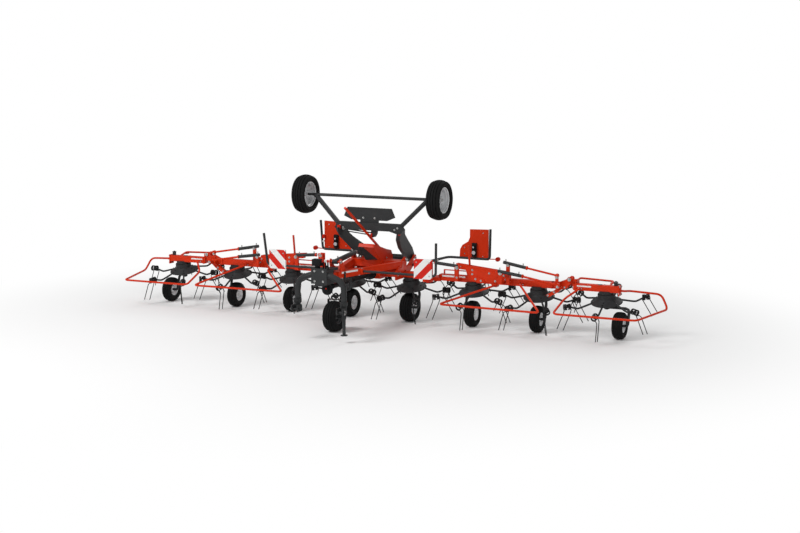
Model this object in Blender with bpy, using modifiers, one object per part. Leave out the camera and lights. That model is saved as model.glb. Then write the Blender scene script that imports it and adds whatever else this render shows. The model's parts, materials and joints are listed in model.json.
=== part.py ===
"""A trailed hay tedder: eight tined rotors on a folding beam, with an overhead transport chassis.

Metres, +Z up. +X is the right wing, -Y is the front, where the headstock couples to a tractor.
Every place below is in the machine's frame, whose Y = 0 is the working wheels' centre line.
Routes and outlines are for the right side, and the left side takes them mirrored.
"""
import bmesh
import bpy
from math import pi, radians
from mathutils import Matrix, Vector

SIDES = {"left": -1, "right": 1}

# Paints and rubbers: colour, metallic, roughness
PAINTS = {
    "red": ((0.6, 0.045, 0.012), 0.0, 0.35),
    "dark": ((0.055, 0.06, 0.065), 0.0, 0.45),
    "silver": ((0.72, 0.73, 0.74), 0.6, 0.4),
    "tyre": ((0.02, 0.02, 0.02), 0.0, 0.85),
    "board": ((0.85, 0.85, 0.85), 0.0, 0.4),
    "black": ((0.03, 0.03, 0.03), 0.0, 0.6),
}

# Clearances, overruns and facets
SEAT = 0.0003
PLAY = 0.0008
SINK = 0.02
WELD = 0.00003
ROUND = 16
PLAIN_ROUND = 8
SMALL_ROUND = 6
SQUARE = 4
BEND_SHARE = 0.45
CREASE = radians(35)
FLAT = radians(0.2)

# Rotors, in their own frame with Z up the axis
ROTOR_PITCH = 1.07
ROTOR_Y = 0.05
ROTOR_Z = 0.575
ROTOR_TILT = radians(13)
ARMS = 6
ARM_RADIUS = 0.0145
ARM_ROOT = (0.15, -0.012)
ARM_KINK = (0.43, -0.085)
COIL_RING = 0.6
COIL_HEIGHT = -0.04
COIL_RADIUS = 0.032
COIL_LENGTH = 0.11
TINE_RING = 0.74
TINE_REACH = 0.37
TINE_SPREAD = 0.046
TINE_TRAIL = 0.03
TINE_RADIUS = 0.0055
DISH_RADIUS = 0.24
DISH_LIP = -0.03
DISH_WALL = 0.012
HUB_RADIUS = 0.13
HUB_FOOT = 0.022
HUB_TOP = 0.1
BORE_RADIUS = 0.0422

# Beams and gearboxes
BEAM_Z = 0.75
BEAM_HALF = 0.05
GEARBOX_RADIUS = 0.105
GEARBOX_GAP = 0.006
GEARBOX_TOP = 0.155
CENTRE_BOX_LOW = (-0.11, -0.2, 0.68)
CENTRE_BOX_HIGH = (0.11, 0.045, 0.85)

# Columns, wheel legs and wheels
COLUMN_RADIUS = 0.0412
LEG_RADIUS = 0.022
LEG_SIDE_GAP = 0.037
LEG_BEND = 0.06
AXLE_RADIUS = 0.0197
WHEEL_SIDES = 12
WHEELS = [
    # name, wheel's offset outwards from its rotor, tyre diameter, tyre width, column's foot
    ("1", 0.0, 0.457, 0.21, -0.1),
    ("2", 0.0, 0.41, 0.165, -0.1),
    ("3", 0.0, 0.41, 0.165, -0.1),
    ("4", 0.228, 0.41, 0.165, -0.145),
]
LEG_SIDES = {
    # which side of its wheel each leg goes down, +1 towards +X
    "left": (-1, 1, -1, 1),
    "right": (1, -1, 1, 1),
}
RIM_SHARE = 0.5
RIM_BAND = 0.012
RIM_HALF_SHARE = 0.36
HUB_HALF_SHARE = 0.2
WHEEL_HUB_RADIUS = 0.045
BEAD_SHARE = 0.72
BULGE_SHARE = 0.97
TREAD_SHARE = 0.7
SHOULDER_SHARE = 0.3
SUPPORT_X = -0.166
SUPPORT_Y = -1.253
SUPPORT_DIAMETER = 0.47
SUPPORT_WIDTH = 0.218
TRANSPORT_X = 1.165
TRANSPORT_Y = -0.303
TRANSPORT_Z = 1.99
TRANSPORT_DIAMETER = 0.623
TRANSPORT_WIDTH = 0.227
TRANSPORT_RIM_SHARE = 0.64

# Fold hinges
WING_X = 0.95
WING_Z = 0.72
WING_LUG_FRONT = -0.1
WING_LUG_REAR = 0.12
WING_BEAM_START = 1.06
OUTER_X = 3.2
OUTER_Z = 0.86
INNER_BEAM_END = 3.12
OUTER_BEAM_START = 3.25
OUTER_BEAM_PAST = 0.225
END_PLATE = 0.015
END_PLATE_HALF = 0.06
END_PLATE_DROP = 0.045
HINGE_RADIUS = 0.035
PIN_RADIUS = 0.02
OUTER_PIN_RADIUS = 0.016
OUTER_ROOT = 0.17
CLEVIS_GAP = 0.058
CLEVIS_LUG = 0.014
CLEVIS_SPACER = 0.03
CLEVIS_OUTLINE = [
    (3.0, 0.705), (3.14, 0.705), (3.23, 0.83), (3.235, 0.87), (3.215, 0.895), (3.18, 0.895),
    (3.15, 0.857), (3.02, 0.8),
]

# Posts of the centre beam, which carry the wings
POST_TOP = 1.03
POST_FRONT = -0.225
POST_REAR = -0.135
POST_PLATE = 0.012
POST_HALF = 0.04
POST_ROOT = POST_HALF * 2.5
BOSS_FRONT = -0.24
BOSS_RADIUS = 0.032

# Wing lift cylinders and fold cylinders: each from its eye to its far end
LIFT_Y = -0.18
LIFT_EYE_X = 0.95
LIFT_EYE_Z = 0.995
LIFT_COLLAR_X = 1.06
LIFT_END_X = 1.42
LIFT_END_Z = 0.965
SLEEVE_RADIUS = 0.026
SHAFT_RADIUS = 0.013
EYE_RADIUS = 0.026
EYE_HALF = 0.024
FOLDERS = [
    # y, sleeve's start, sleeve's end and shaft's end as (x, z), and the post's x
    (-0.125, (2.16, 1.065), (2.53, 1.0), (3.02, 0.915), 2.235),
    (-0.2, (2.10, 0.935), (2.49, 0.88), (3.06, 0.78), 2.14),
]
FOLDER_POST_HALF = 0.028
FOLDER_PLATE = 0.014
STAY_HALF = 0.022

# Channel and brackets on the inner wing, as (x, z) outlines
CHANNEL_OUTLINE = [(1.34, 0.985), (1.37, 0.90), (2.18, 0.85), (2.16, 0.905)]
CHANNEL_HOLLOW = [(1.36, 1.005), (1.385, 0.91), (2.15, 0.863), (2.13, 0.925)]
CHANNEL_HALF = 0.045
CHANNEL_WALL = 0.008
CHEEK_OUTLINE = [(1.5, 0.94), (1.56, 0.72), (2.1, 0.72), (2.22, 0.76), (2.22, 0.87)]
CHEEK_HALF = 0.058
CHEEK_PLATE = 0.016
LEVER_OUTLINE = [(1.6, 0.78), (1.72, 0.80), (1.82, 0.76), (1.83, 0.72), (1.76, 0.71), (1.62, 0.73)]
LEVER_HALF = 0.074
GUARD_BRACKET_OUTLINE = [(1.9, 0.76), (2.06, 0.76), (2.02, 0.655), (1.95, 0.655)]
HINGE_LEVER_OUTLINE = [
    (2.84, 0.60), (2.88, 0.57), (3.02, 0.65), (3.12, 0.74), (3.06, 0.77), (2.98, 0.69),
]
HINGE_LEVER_FRONT = -0.1
MARK_ROD = [(1.551, 0.017, 0.88), (1.548, -0.04, 1.268)]
MARK_RADIUS = 0.012
LINK_ROD = [(1.1, 0.042, 0.86), (1.6, 0.042, 0.86)]
LINK_RADIUS = 0.009

# Outer wing
OUTER_ROD = [(3.28, 0.09, 0.83), (3.28, 0.2, 0.85), (3.8, 0.22, 0.83), (3.8, 0.0, 0.78)]
END_CAP_RADIUS = 0.03
END_CAP_HEIGHT = 0.05
END_CAP_IN = 0.07
LINK_HALF = 0.02

# Guards, as routes of (x, y, z), the outer one's x from the last rotor's axis
GUARD_RADIUS = 0.0145
GUARD_BEND = 0.08
GUARD_OUTER = [
    (-0.385, -0.12, 0.73), (-0.545, -0.3, 0.6), (-0.575, -0.745, 0.443), (0.675, -0.722, 0.436),
    (0.895, 0.2, 0.47), (0.785, 0.235, 0.68), (0.315, 0.23, 0.7), (0.295, 0, 0.73),
]
GUARD_INNER = [
    (1.985, -0.14, 0.68), (1.36, -0.77, 0.457), (2.99, -0.82, 0.457), (2.43, -0.12, 0.73),
]

# Drawbar
V_FRONT = (0.03, -1.56, 0.925)
V_REAR = (0.43, -0.14, 0.925)
V_WIDTH = 0.075
V_HEIGHT = 0.1
SWIVEL_Y = -1.62
SWIVEL_Z = 0.92
EYE_RING_RADIUS = 0.06
EYE_RING_LOW = 0.88
EYE_RING_HIGH = 0.98
SIDE_PLATE_IN = 0.43
SIDE_PLATE_OUT = 0.455
SIDE_PIN = (-0.01, 0.985)
SIDE_RAMP = [(-0.34, 0.84), (-0.34, 0.7)]
SIDE_STEP = 0.815
SIDE_CROWN = [(0.04, 0.815), (0.045, 0.96), (0.03, 1.01), (-0.01, 1.03), (-0.06, 1.01)]
CROSS_BOX_LOW = (-0.44, -0.16, 0.862)
CROSS_BOX_HIGH = (0.44, 0.04, 0.975)
HOOD_OUTLINE = [
    (-0.15, 0.9), (-0.50, 1.22), (-0.47, 1.27), (-0.02, 1.14), (0.16, 1.1), (0.22, 1.0),
    (0.2, 0.862), (0.02, 0.862),
]
HOOD_HALF = 0.13
LUG_OUTLINE = [(-1.51, 0.95), (-1.56, 1.13), (-1.53, 1.17), (-1.49, 1.16), (-1.34, 0.95)]
LUG_HALF = 0.09
LUG_PLATE = 0.014
LUG_PIN = (-1.525, 1.125)
TUBE_TOP = (0, -1.199, 1.903)
TUBE_FOOT = (0, 0.069, 1.103)
TUBE_RADIUS = 0.022
ARM_PAD_LOW = (0.14, -1.1, 0.89)
ARM_PAD_HIGH = (0.24, -1.02, 0.97)

# Chassis and its brackets
CHASSIS_Y = 0.4
CHASSIS_Z = 0.96
PIVOT_RADIUS = 0.045
BRACKET_IN = 0.42
BRACKET_PLATE = 0.02
BRACKET_LOW = 0.76
BRACKET_WEB = 0.03
BRACKET_TOP = 0.84
BRACKET_OUTLINE = [(0.2, 0.76), (0.43, 0.89), (0.46, 0.95), (0.44, 1.01), (0.37, 1.02), (0.32, 0.98)]
LEVER_PROFILE = [
    (-0.42, 1.46), (-0.37, 1.34), (-0.18, 1.19), (0.08, 1.05), (0.34, 0.9), (0.44, 0.9),
    (0.46, 1.0), (0.26, 1.15), (-0.03, 1.31), (-0.22, 1.42), (-0.28, 1.5),
]
LEVER_WIDTH = 0.065
LEVER_X = 0.36
LEVER_LEAN = 0.34
CROSS_BEAM_OUTLINE = [
    (-0.54, 1.59), (0.54, 1.59), (0.6, 1.5), (0.54, 1.42), (0.36, 1.47), (-0.36, 1.47),
    (-0.54, 1.42), (-0.6, 1.5),
]
CROSS_BEAM_FRONT = -0.4
CROSS_BEAM_REAR = -0.32
CHASSIS_ARM_ROOT = (0.52, -0.36, 1.53)
CHASSIS_ARM_TIP = (0.98, -0.303, 1.985)
CHASSIS_ARM_RADIUS = 0.038
AXLE_BAR_RADIUS = 0.024
HOOK_OUTLINE = [(0.035, 1.49), (0.037, 1.41), (0.06, 1.36), (0.1, 1.37), (0.13, 1.42), (0.14, 1.49)]
SIGN_OUTLINE = [
    (-0.38, 1.823), (0.38, 1.823), (0.44, 1.685), (0.31, 1.63), (-0.31, 1.63), (-0.44, 1.685),
]
SIGN_FRONT = -0.378
SIGN_REAR = -0.342
SIGN_STAND_HALF = 0.155
CHASSIS_CYLINDER_REAR = (-0.3, -0.3, 1.09)
CHASSIS_BARREL_RADIUS = 0.042
EYE_SHARE = 0.8

# Headstock and jack
HITCH_Y = -2.0
ARCH_HALF = 0.385
ARCH_TOP = 1.0
ARCH_SHOULDER = 0.9
ARCH_FOOT = 0.46
ARCH_RADIUS = 0.045
ARCH_BEND = 0.24
PLATE_HALF = 0.13
PLATE_LOW = 0.86
PLATE_HIGH = 1.09
PLATE_FRONT = -2.055
PLATE_THICKNESS = 0.02
CLEVIS_HALF = 0.065
CLEVIS_LOW = 0.825
CLEVIS_HIGH = 1.05
CLEVIS_PLATE = 0.035
CLEVIS_REAR = -1.56
CLEVIS_ROOT = -1.71
LINK_PIN_Y = -2.09
LINK_PIN_Z = 0.47
LINK_PIN_RADIUS = 0.014
LINK_PIN_IN = 0.3
LINK_PIN_OUT = 0.45
CHEEK_FRONT = -2.13
CHEEK_THICKNESS = 0.018
CHEEK_INS = (0.318, 0.414)
CHEEK_LOW = 0.43
CHEEK_HIGH = 0.53
JACK_RADIUS = 0.0247
JACK_BORE = 0.0255
JACK_BORE_TOP = 0.73
JACK_TOP = 0.52
JACK_FOOT = 0.11
FOOT_RADIUS = 0.055
FOOT_HEIGHT = 0.012

# Drive shaft, as a (distance back from the front, radius) profile
SHAFT_FRONT_Y = -1.8
SHAFT_Z = 0.765
SHAFT_STEPS = [(0, 0.055), (0.05, 0.055), (0.06, 0.035), (1.3, 0.038), (1.4, 0.07), (1.53, 0.075),
               (1.54, 0.03)]

# Support wheel's bar and the warning boards
SUPPORT_KNEE_Z = 0.6
SUPPORT_TOP = (0.11, 0.66)
SUPPORT_BAR_RADIUS = 0.024
BOARD_TUBE_RADIUS = 0.016
BOARD_BEND = 0.06
FRONT_BOARD_ROUTE = [(1.44, -1.06, 0.93), (1.47, -1.12, 1.43)]
FRONT_BOARD_LOW = (1.1, -1.1, 0.88)
FRONT_BOARD_HIGH = (1.39, -1.074, 1.18)
REAR_BOARD_ROUTE = [(0.55, 0.3, 0.86), (0.8, 0.93, 0.93), (1.52, 0.93, 0.93), (1.54, 0.9, 1.42)]
REAR_PLATE_OUTLINE = [
    (1.49, 1.41), (1.17, 1.4), (1.17, 1.27), (1.14, 1.2), (1.04, 1.14), (1.0, 1.07), (0.99, 0.91),
    (1.49, 0.91),
]
REAR_PLATE_FRONT = 0.935
REAR_Y = 0.96
BALL_STEM = [(1.4, 0.93, 0.93), (1.66, 0.93, 0.94)]
BALL_RADIUS = 0.032


def paint(name):
    """The Principled material of this name, made once."""
    found = bpy.data.materials.get(name)
    if found:
        return found
    colour, metallic, roughness = PAINTS[name]
    made = bpy.data.materials.new(name)
    made.use_nodes = True
    shader = made.node_tree.nodes["Principled BSDF"]
    shader.inputs["Base Color"].default_value = (*colour, 1.0)
    shader.inputs["Metallic"].default_value = metallic
    shader.inputs["Roughness"].default_value = roughness
    return made


def rotor_x(index):
    """The distance of the nth rotor from the machine's centre, counted from 1."""
    return ROTOR_PITCH * (index - 0.5)


def outer_end():
    """The distance of the outer beams' ends from the machine's centre."""
    return rotor_x(len(WHEELS)) + OUTER_BEAM_PAST


def rotor_frame(x):
    """From a rotor's own frame, with Z up its axis, to the machine's frame."""
    return Matrix.Translation((x, ROTOR_Y, ROTOR_Z)) @ Matrix.Rotation(ROTOR_TILT, 4, "X")


def mirrored(points, sign):
    """The points on the side of this sign, from those of the right side."""
    return [(sign * point[0], *point[1:]) for point in points]


def as_object(mesh, name="piece"):
    made = bpy.data.objects.new(name, mesh)
    bpy.context.scene.collection.objects.link(made)
    return made


def from_bmesh(shape, matrix=None):
    mesh = bpy.data.meshes.new("piece")
    if matrix is not None:
        bmesh.ops.transform(shape, matrix=matrix, verts=shape.verts)
    shape.to_mesh(mesh)
    shape.free()
    return as_object(mesh)


def box(first, second, matrix=None):
    """A block between any two opposite corners."""
    low = Vector(min(pair) for pair in zip(first, second))
    high = Vector(max(pair) for pair in zip(first, second))
    shape = bmesh.new()
    bmesh.ops.create_cube(shape, size=1)
    place = Matrix.Translation((low + high) / 2) @ Matrix.Diagonal((*(high - low), 1))
    bmesh.ops.transform(shape, matrix=place, verts=shape.verts)
    return from_bmesh(shape, matrix)


def strut(start, end, width, height):
    """A straight rectangular bar between two points, its width level."""
    start, end = Vector(start), Vector(end)
    span = end - start
    turn = span.to_track_quat("Y", "Z").to_matrix().to_4x4()
    corner = Vector((width, span.length, height)) / 2
    return box(-corner, corner, Matrix.Translation((start + end) / 2) @ turn)


def rod(start, end, radius, sides=PLAIN_ROUND, matrix=None):
    """A straight round bar between two points."""
    start, end = Vector(start), Vector(end)
    span = end - start
    shape = bmesh.new()
    bmesh.ops.create_cone(shape, cap_ends=True, segments=sides, radius1=radius, radius2=radius,
                          depth=span.length)
    turn = span.to_track_quat("Z", "Y").to_matrix().to_4x4()
    place = Matrix.Translation((start + end) / 2) @ turn
    bmesh.ops.transform(shape, matrix=place, verts=shape.verts)
    return from_bmesh(shape, matrix)


def ball(centre, radius):
    shape = bmesh.new()
    bmesh.ops.create_uvsphere(shape, u_segments=SMALL_ROUND, v_segments=SMALL_ROUND // 2, radius=radius)
    return from_bmesh(shape, Matrix.Translation(centre))


def evaluated_mesh(source):
    """The object's mesh with its modifiers applied, as new data."""
    bpy.context.view_layer.update()
    graph = bpy.context.evaluated_depsgraph_get()
    return bpy.data.meshes.new_from_object(source.evaluated_get(graph))


def closed_mesh(source, matrix=None):
    """The source turned into one closed mesh, its loose caps and seams welded, and removed."""
    mesh = evaluated_mesh(source)
    bpy.data.objects.remove(source)
    shape = bmesh.new()
    shape.from_mesh(mesh)
    bmesh.ops.remove_doubles(shape, verts=shape.verts, dist=WELD)
    bmesh.ops.recalc_face_normals(shape, faces=shape.faces)
    return from_bmesh(shape, matrix)


def tube(points, radius, matrix=None, detail=1):
    """A bent round tube through the points."""
    curve = bpy.data.curves.new("route", "CURVE")
    curve.dimensions = "3D"
    curve.bevel_depth = radius
    curve.bevel_resolution = detail
    curve.use_fill_caps = True
    line = curve.splines.new("POLY")
    line.points.add(len(points) - 1)
    for spot, place in zip(line.points, points):
        spot.co = (*place, 1)
    return closed_mesh(as_object(curve), matrix)


def rounded(points, bend, steps=2):
    """The points with each inner corner replaced by an arc that starts this far before it."""
    points = [Vector(point) for point in points]
    route = [points[0]]
    for before, corner, after in zip(points, points[1:], points[2:]):
        reach = min(bend, *((end - corner).length * BEND_SHARE for end in (before, after)))
        start = corner + (before - corner).normalized() * reach
        end = corner + (after - corner).normalized() * reach
        for step in range(steps + 1):
            t = step / steps
            route.append(start * (1 - t) ** 2 + corner * 2 * t * (1 - t) + end * t ** 2)
    return route + [points[-1]]


def turned(profile, sides, matrix=None):
    """A solid of revolution about Z from a closed profile of (radius, height) points."""
    mesh = bpy.data.meshes.new("profile")
    places = [(radius, 0, height) for radius, height in profile]
    count = len(places)
    mesh.from_pydata(places, [(i, (i + 1) % count) for i in range(count)], [])
    source = as_object(mesh)
    screw = source.modifiers.new("turn", "SCREW")
    screw.steps = screw.render_steps = sides
    screw.use_merge_vertices = True
    screw.merge_threshold = WELD
    return closed_mesh(source, matrix)


def ring(outer, inner, low, high, matrix):
    return turned([(outer, high), (outer, low), (inner, low), (inner, high)], ROUND, matrix)


def plate(outline, thickness, matrix):
    """A flat plate from an outline in XY, its thickness centred on the plane."""
    curve = bpy.data.curves.new("outline", "CURVE")
    curve.dimensions = "2D"
    curve.fill_mode = "BOTH"
    curve.extrude = thickness / 2
    line = curve.splines.new("POLY")
    line.points.add(len(outline) - 1)
    for spot, place in zip(line.points, outline):
        spot.co = (*place, 0, 1)
    line.use_cyclic_u = True
    return closed_mesh(as_object(curve), matrix)


def side_plate(outline, first, second, lean=None):
    """A plate from a (y, z) outline, between two distances in X."""
    turn = Matrix(((0, 0, 1, 0), (1, 0, 0, 0), (0, 1, 0, 0), (0, 0, 0, 1)))
    place = Matrix.Translation(((first + second) / 2, 0, 0)) @ turn
    return plate(outline, abs(second - first), lean @ place if lean else place)


def front_plate(outline, first, second):
    """A plate from an (x, z) outline, between two distances in Y."""
    turn = Matrix(((1, 0, 0, 0), (0, 0, -1, 0), (0, 1, 0, 0), (0, 0, 0, 1)))
    return plate(outline, abs(second - first), Matrix.Translation((0, (first + second) / 2, 0)) @ turn)


def combine(pieces, operation="UNION"):
    """One mesh from several pieces: the first joined with, or cut by, the others.

    The EXACT solver leaves open edges where many bars meet, and MANIFOLD doesn't.
    """
    base = pieces[0]
    for other in pieces[1:]:
        step = base.modifiers.new("step", "BOOLEAN")
        step.operation = operation
        step.solver = "MANIFOLD"
        step.object = other
    mesh = evaluated_mesh(base)
    for piece in pieces:
        bpy.data.objects.remove(piece)
    return simplified(mesh)


def simplified(mesh):
    """The mesh with the flat faces that a Boolean split made whole again."""
    shape = bmesh.new()
    shape.from_mesh(mesh)
    bmesh.ops.dissolve_limit(shape, angle_limit=FLAT, verts=shape.verts, edges=shape.edges)
    bmesh.ops.triangulate(shape, faces=shape.faces)
    shape.to_mesh(mesh)
    shape.free()
    return mesh


class Machine:
    """The collection of named pieces and the empties that carry them."""

    def __init__(self):
        self.group = bpy.data.collections.new("hay_tedder")
        bpy.context.scene.collection.children.link(self.group)
        self.places = {}
        self.origin = self.carrier("machine", (0, 0, 0), None)

    def carrier(self, name, place, parent):
        """An empty on a joint's axis, at a place in the machine's frame."""
        made = bpy.data.objects.new(name + "_axis", None)
        self.group.objects.link(made)
        self.places[made.name] = Vector(place)
        made.parent = parent
        made.location = Vector(place) - (self.places[parent.name] if parent else Vector())
        return made

    def place(self, made, carrier, name, colour):
        """Puts a finished piece, modelled in the machine's frame, on its carrier."""
        made.name = name
        made.data.name = name
        made.data.materials.clear()
        made.data.materials.append(paint(colour))
        for collection in list(made.users_collection):
            collection.objects.unlink(made)
        self.group.objects.link(made)
        made.parent = carrier
        made.location = made.location - self.places[carrier.name]
        made.data.shade_smooth()
        made.data.set_sharp_from_angle(angle=CREASE)
        return made

    def fuse(self, name, pieces, carrier, colour):
        return self.place(as_object(combine(pieces)), carrier, name, colour)


def rotor_mesh(turn):
    """A rotor about its own axis: a hollow dish, its bent arms, and a twin coil tine on each arm.

    The tines trail, so the rotor that turns the other way is the mirror image, turn = -1.
    """
    under = HUB_TOP - DISH_WALL
    pieces = [turned([
        (BORE_RADIUS, HUB_TOP), (HUB_RADIUS, HUB_TOP), (HUB_RADIUS, HUB_FOOT),
        (DISH_RADIUS, DISH_LIP), (DISH_RADIUS, DISH_LIP - DISH_WALL),
        (HUB_RADIUS - DISH_WALL, HUB_FOOT - DISH_WALL), (HUB_RADIUS - DISH_WALL, under),
        (BORE_RADIUS, under),
    ], ROUND)]
    for arm in range(ARMS):
        pieces += arm_pieces(Matrix.Rotation(2 * pi * arm / ARMS, 4, "Z"), turn)
    return combine(pieces)


def arm_pieces(spin, turn):
    """One bent arm, its coil's drum across it, and the two tines."""
    (root, root_height), (kink, kink_height) = ARM_ROOT, ARM_KINK
    route = [(root, 0, root_height), (kink, 0, kink_height), (COIL_RING, 0, COIL_HEIGHT)]
    half = COIL_LENGTH / 2
    pieces = [
        tube(route, ARM_RADIUS, spin, detail=0),
        rod((COIL_RING, -half, COIL_HEIGHT), (COIL_RING, half, COIL_HEIGHT), COIL_RADIUS,
            SMALL_ROUND, spin),
    ]
    for side in (-1, 1):
        start = side * TINE_SPREAD
        tip = (TINE_RING, start - turn * TINE_TRAIL, -TINE_REACH)
        pieces.append(rod((COIL_RING, start, COIL_HEIGHT), tip, TINE_RADIUS, SQUARE, spin))
    return pieces


def tyre_profile(diameter, width, seat):
    """A tyre's section in (radius, across) points, from its bead over the tread and back."""
    outer, half = diameter / 2, width / 2
    shoulder = (outer - seat) * SHOULDER_SHARE
    return [
        (seat, half * BEAD_SHARE), (seat + shoulder, half * BULGE_SHARE), (outer - shoulder, half),
        (outer, half * TREAD_SHARE), (outer, -half * TREAD_SHARE), (outer - shoulder, -half),
        (seat + shoulder, -half * BULGE_SHARE), (seat, -half * BEAD_SHARE),
    ]


def rim_profile(seat, width):
    """A rim with a band, a disc dished in from both sides, and a bored hub."""
    outer, half = seat - SEAT, width * RIM_HALF_SHARE
    band, bore = outer - RIM_BAND, AXLE_RADIUS + PLAY
    hub, hub_half = WHEEL_HUB_RADIUS, width * HUB_HALF_SHARE
    return [
        (outer, half), (outer, -half), (band, -half), (hub, -hub_half), (bore, -hub_half),
        (bore, hub_half), (hub, hub_half), (band, half),
    ]


def wheel(machine, name, place, size, parent, rim_share):
    """A tyre and its rim on a carrier at the wheel's centre, the axle along X."""
    diameter, width = size
    seat = diameter / 2 * rim_share
    carrier = machine.carrier("wheel_" + name, place, parent)
    across = Matrix.Translation(place) @ Matrix.Rotation(pi / 2, 4, "Y")
    tyre = turned(tyre_profile(diameter, width, seat), WHEEL_SIDES, across)
    machine.place(tyre, carrier, "tyre_" + name, "tyre")
    rim = turned(rim_profile(seat, width), WHEEL_SIDES, across)
    machine.place(rim, carrier, "rim_" + name, "silver")


def wheel_hook(place, side, width, start, radius, bend):
    """The bar from a point down past the wheel's side and in to its hub, and the axle stub."""
    x, y, z = place
    down_x = x + side * (width / 2 + LEG_SIDE_GAP)
    hub_x = x + side * (width * HUB_HALF_SHARE + SINK)
    far_x = x - side * (width * HUB_HALF_SHARE)
    route = [*start, (down_x, start[-1][1], start[-1][2]), (down_x, y, z), (hub_x, y, z)]
    return [tube(rounded(route, bend), radius),
            rod((hub_x + side * SINK, y, z), (far_x, y, z), AXLE_RADIUS)]


def wheel_leg(machine, name, x, place, side, width, foot_height, parent):
    """The fixed column through a rotor's bore, and the hooked bar from its foot to the hub."""
    frame = rotor_frame(x)
    top = HUB_TOP + GEARBOX_GAP - SEAT
    column = rod((0, 0, foot_height), (0, 0, top), COLUMN_RADIUS, ROUND, frame)
    foot = frame @ Vector((0, 0, foot_height + LEG_RADIUS))
    pieces = [column] + wheel_hook(place, side, width, [foot], LEG_RADIUS, LEG_BEND)
    machine.fuse("leg_" + name, pieces, parent, "dark")


def gearbox(x):
    """A rotor's gearbox, tilted with the rotor, under and into its beam."""
    foot = HUB_TOP + GEARBOX_GAP
    return rod((0, 0, foot), (0, 0, GEARBOX_TOP), GEARBOX_RADIUS, ROUND, rotor_frame(x))


def beam(start, end):
    """A square main tube along X between two distances."""
    return box((start, -BEAM_HALF, BEAM_Z - BEAM_HALF), (end, BEAM_HALF, BEAM_Z + BEAM_HALF))


def rotor(machine, name, x, mesh, phase, parent):
    """One rotor on its own carrier, tilted forward and turned to mesh with its neighbours."""
    carrier = machine.carrier("rotor_" + name, (x, ROTOR_Y, ROTOR_Z), parent)
    carrier.rotation_euler = (ROTOR_TILT, 0, 0)
    made = as_object(mesh.copy())
    made.location = machine.places[carrier.name]
    machine.place(made, carrier, "rotor_" + name, "dark")
    made.rotation_euler = (0, 0, phase)


def rotor_unit(machine, side, index, parent, meshes):
    """A rotor with its leg and working wheel. Neighbours in the row turn against each other."""
    sign = SIDES[side]
    number, offset, diameter, width, foot_height = WHEELS[index - 1]
    name = f"{side}_{number}"
    x = sign * rotor_x(index)
    place = (x + sign * offset, 0, diameter / 2)
    leg_side = LEG_SIDES[side][index - 1]
    place_in_row = index if sign > 0 else 1 - index
    odd = place_in_row % 2 == 1
    rotor(machine, name, x, meshes[1 if odd else -1], 0 if odd else pi / ARMS, parent)
    wheel_leg(machine, name, x, place, leg_side, width, foot_height, parent)
    wheel(machine, name, place, (diameter, width), parent, RIM_SHARE)


def centre_beam(machine):
    """The middle cross tube with its gearboxes and the posts that carry the wings."""
    end = WING_X - POST_HALF * 2
    pieces = [beam(-end, end), box(CENTRE_BOX_LOW, CENTRE_BOX_HIGH)]
    for sign in SIDES.values():
        pieces.append(gearbox(sign * rotor_x(1)))
        pieces += wing_post(sign)
    machine.fuse("centre_beam", pieces, machine.origin, "red")


def wing_post(sign):
    """Two cheeks in front of the centre beam, round a wing's pivot pin and its cylinder's eye."""
    x = sign * WING_X
    inner = x - sign * POST_ROOT
    low, high = WING_Z - POST_HALF, WING_Z + POST_HALF
    mid = POST_PLATE / 2
    pieces = [box((x - POST_HALF, y, low), (x + POST_HALF, y + POST_PLATE, POST_TOP))
              for y in (POST_FRONT, POST_REAR - POST_PLATE)]
    pieces.append(box((inner, POST_FRONT + mid, low + mid),
                      (x + sign * (POST_HALF - mid), POST_REAR - mid, high - mid)))
    pieces.append(box((inner + sign * mid, POST_REAR - POST_PLATE, low + POST_PLATE),
                      (x - sign * POST_HALF * 2, 0, high - POST_PLATE)))
    pieces.append(rod((x, BOSS_FRONT, WING_Z), (x, POST_FRONT + mid, WING_Z), BOSS_RADIUS))
    pieces.append(rod((x, POST_REAR - mid, WING_Z), (x, WING_LUG_REAR + POST_PLATE, WING_Z),
                      PIN_RADIUS, ROUND))
    return pieces


def wing_inner(machine, side, meshes):
    """The inner wing: the long beam with two gearboxes, its channel and its cylinders."""
    sign = SIDES[side]
    carrier = machine.carrier(f"wing_{side}", (sign * WING_X, 0, WING_Z), machine.origin)
    mesh = wing_mesh()
    if sign < 0:
        mesh.transform(Matrix.Scale(-1, 4, (1, 0, 0)))
        mesh.flip_normals()
    machine.place(as_object(mesh), carrier, f"wing_beam_{side}", "red")
    guard(machine, f"guard_inner_{side}", mirrored(guard_inner_route(), sign), carrier)
    for index in (2, 3):
        rotor_unit(machine, side, index, carrier, meshes)
    return carrier


def wing_mesh():
    """The right inner wing's beam with its gearboxes, lugs, channel and cylinders."""
    pieces = [beam(WING_BEAM_START, INNER_BEAM_END), gearbox(rotor_x(2)), gearbox(rotor_x(3))]
    pieces += wing_lug() + outer_clevis() + lift_cylinder() + wing_channel()
    for row in FOLDERS:
        pieces += fold_cylinder(*row)
    return combine(pieces)


def wing_lug():
    """The bored lug on the wing's pivot pin, and its neck to the beam."""
    along = Matrix.Translation((WING_X, 0, WING_Z)) @ Matrix.Rotation(-pi / 2, 4, "X")
    lug = ring(HINGE_RADIUS, PIN_RADIUS + PLAY, WING_LUG_FRONT, WING_LUG_REAR, along)
    half = HINGE_RADIUS - POST_PLATE / 2
    neck = box((WING_X + PIN_RADIUS + POST_PLATE, WING_LUG_FRONT + POST_PLATE, WING_Z - half),
               (WING_BEAM_START + SINK, BEAM_HALF - POST_PLATE / 2, WING_Z + half))
    return [lug, neck]


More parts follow.
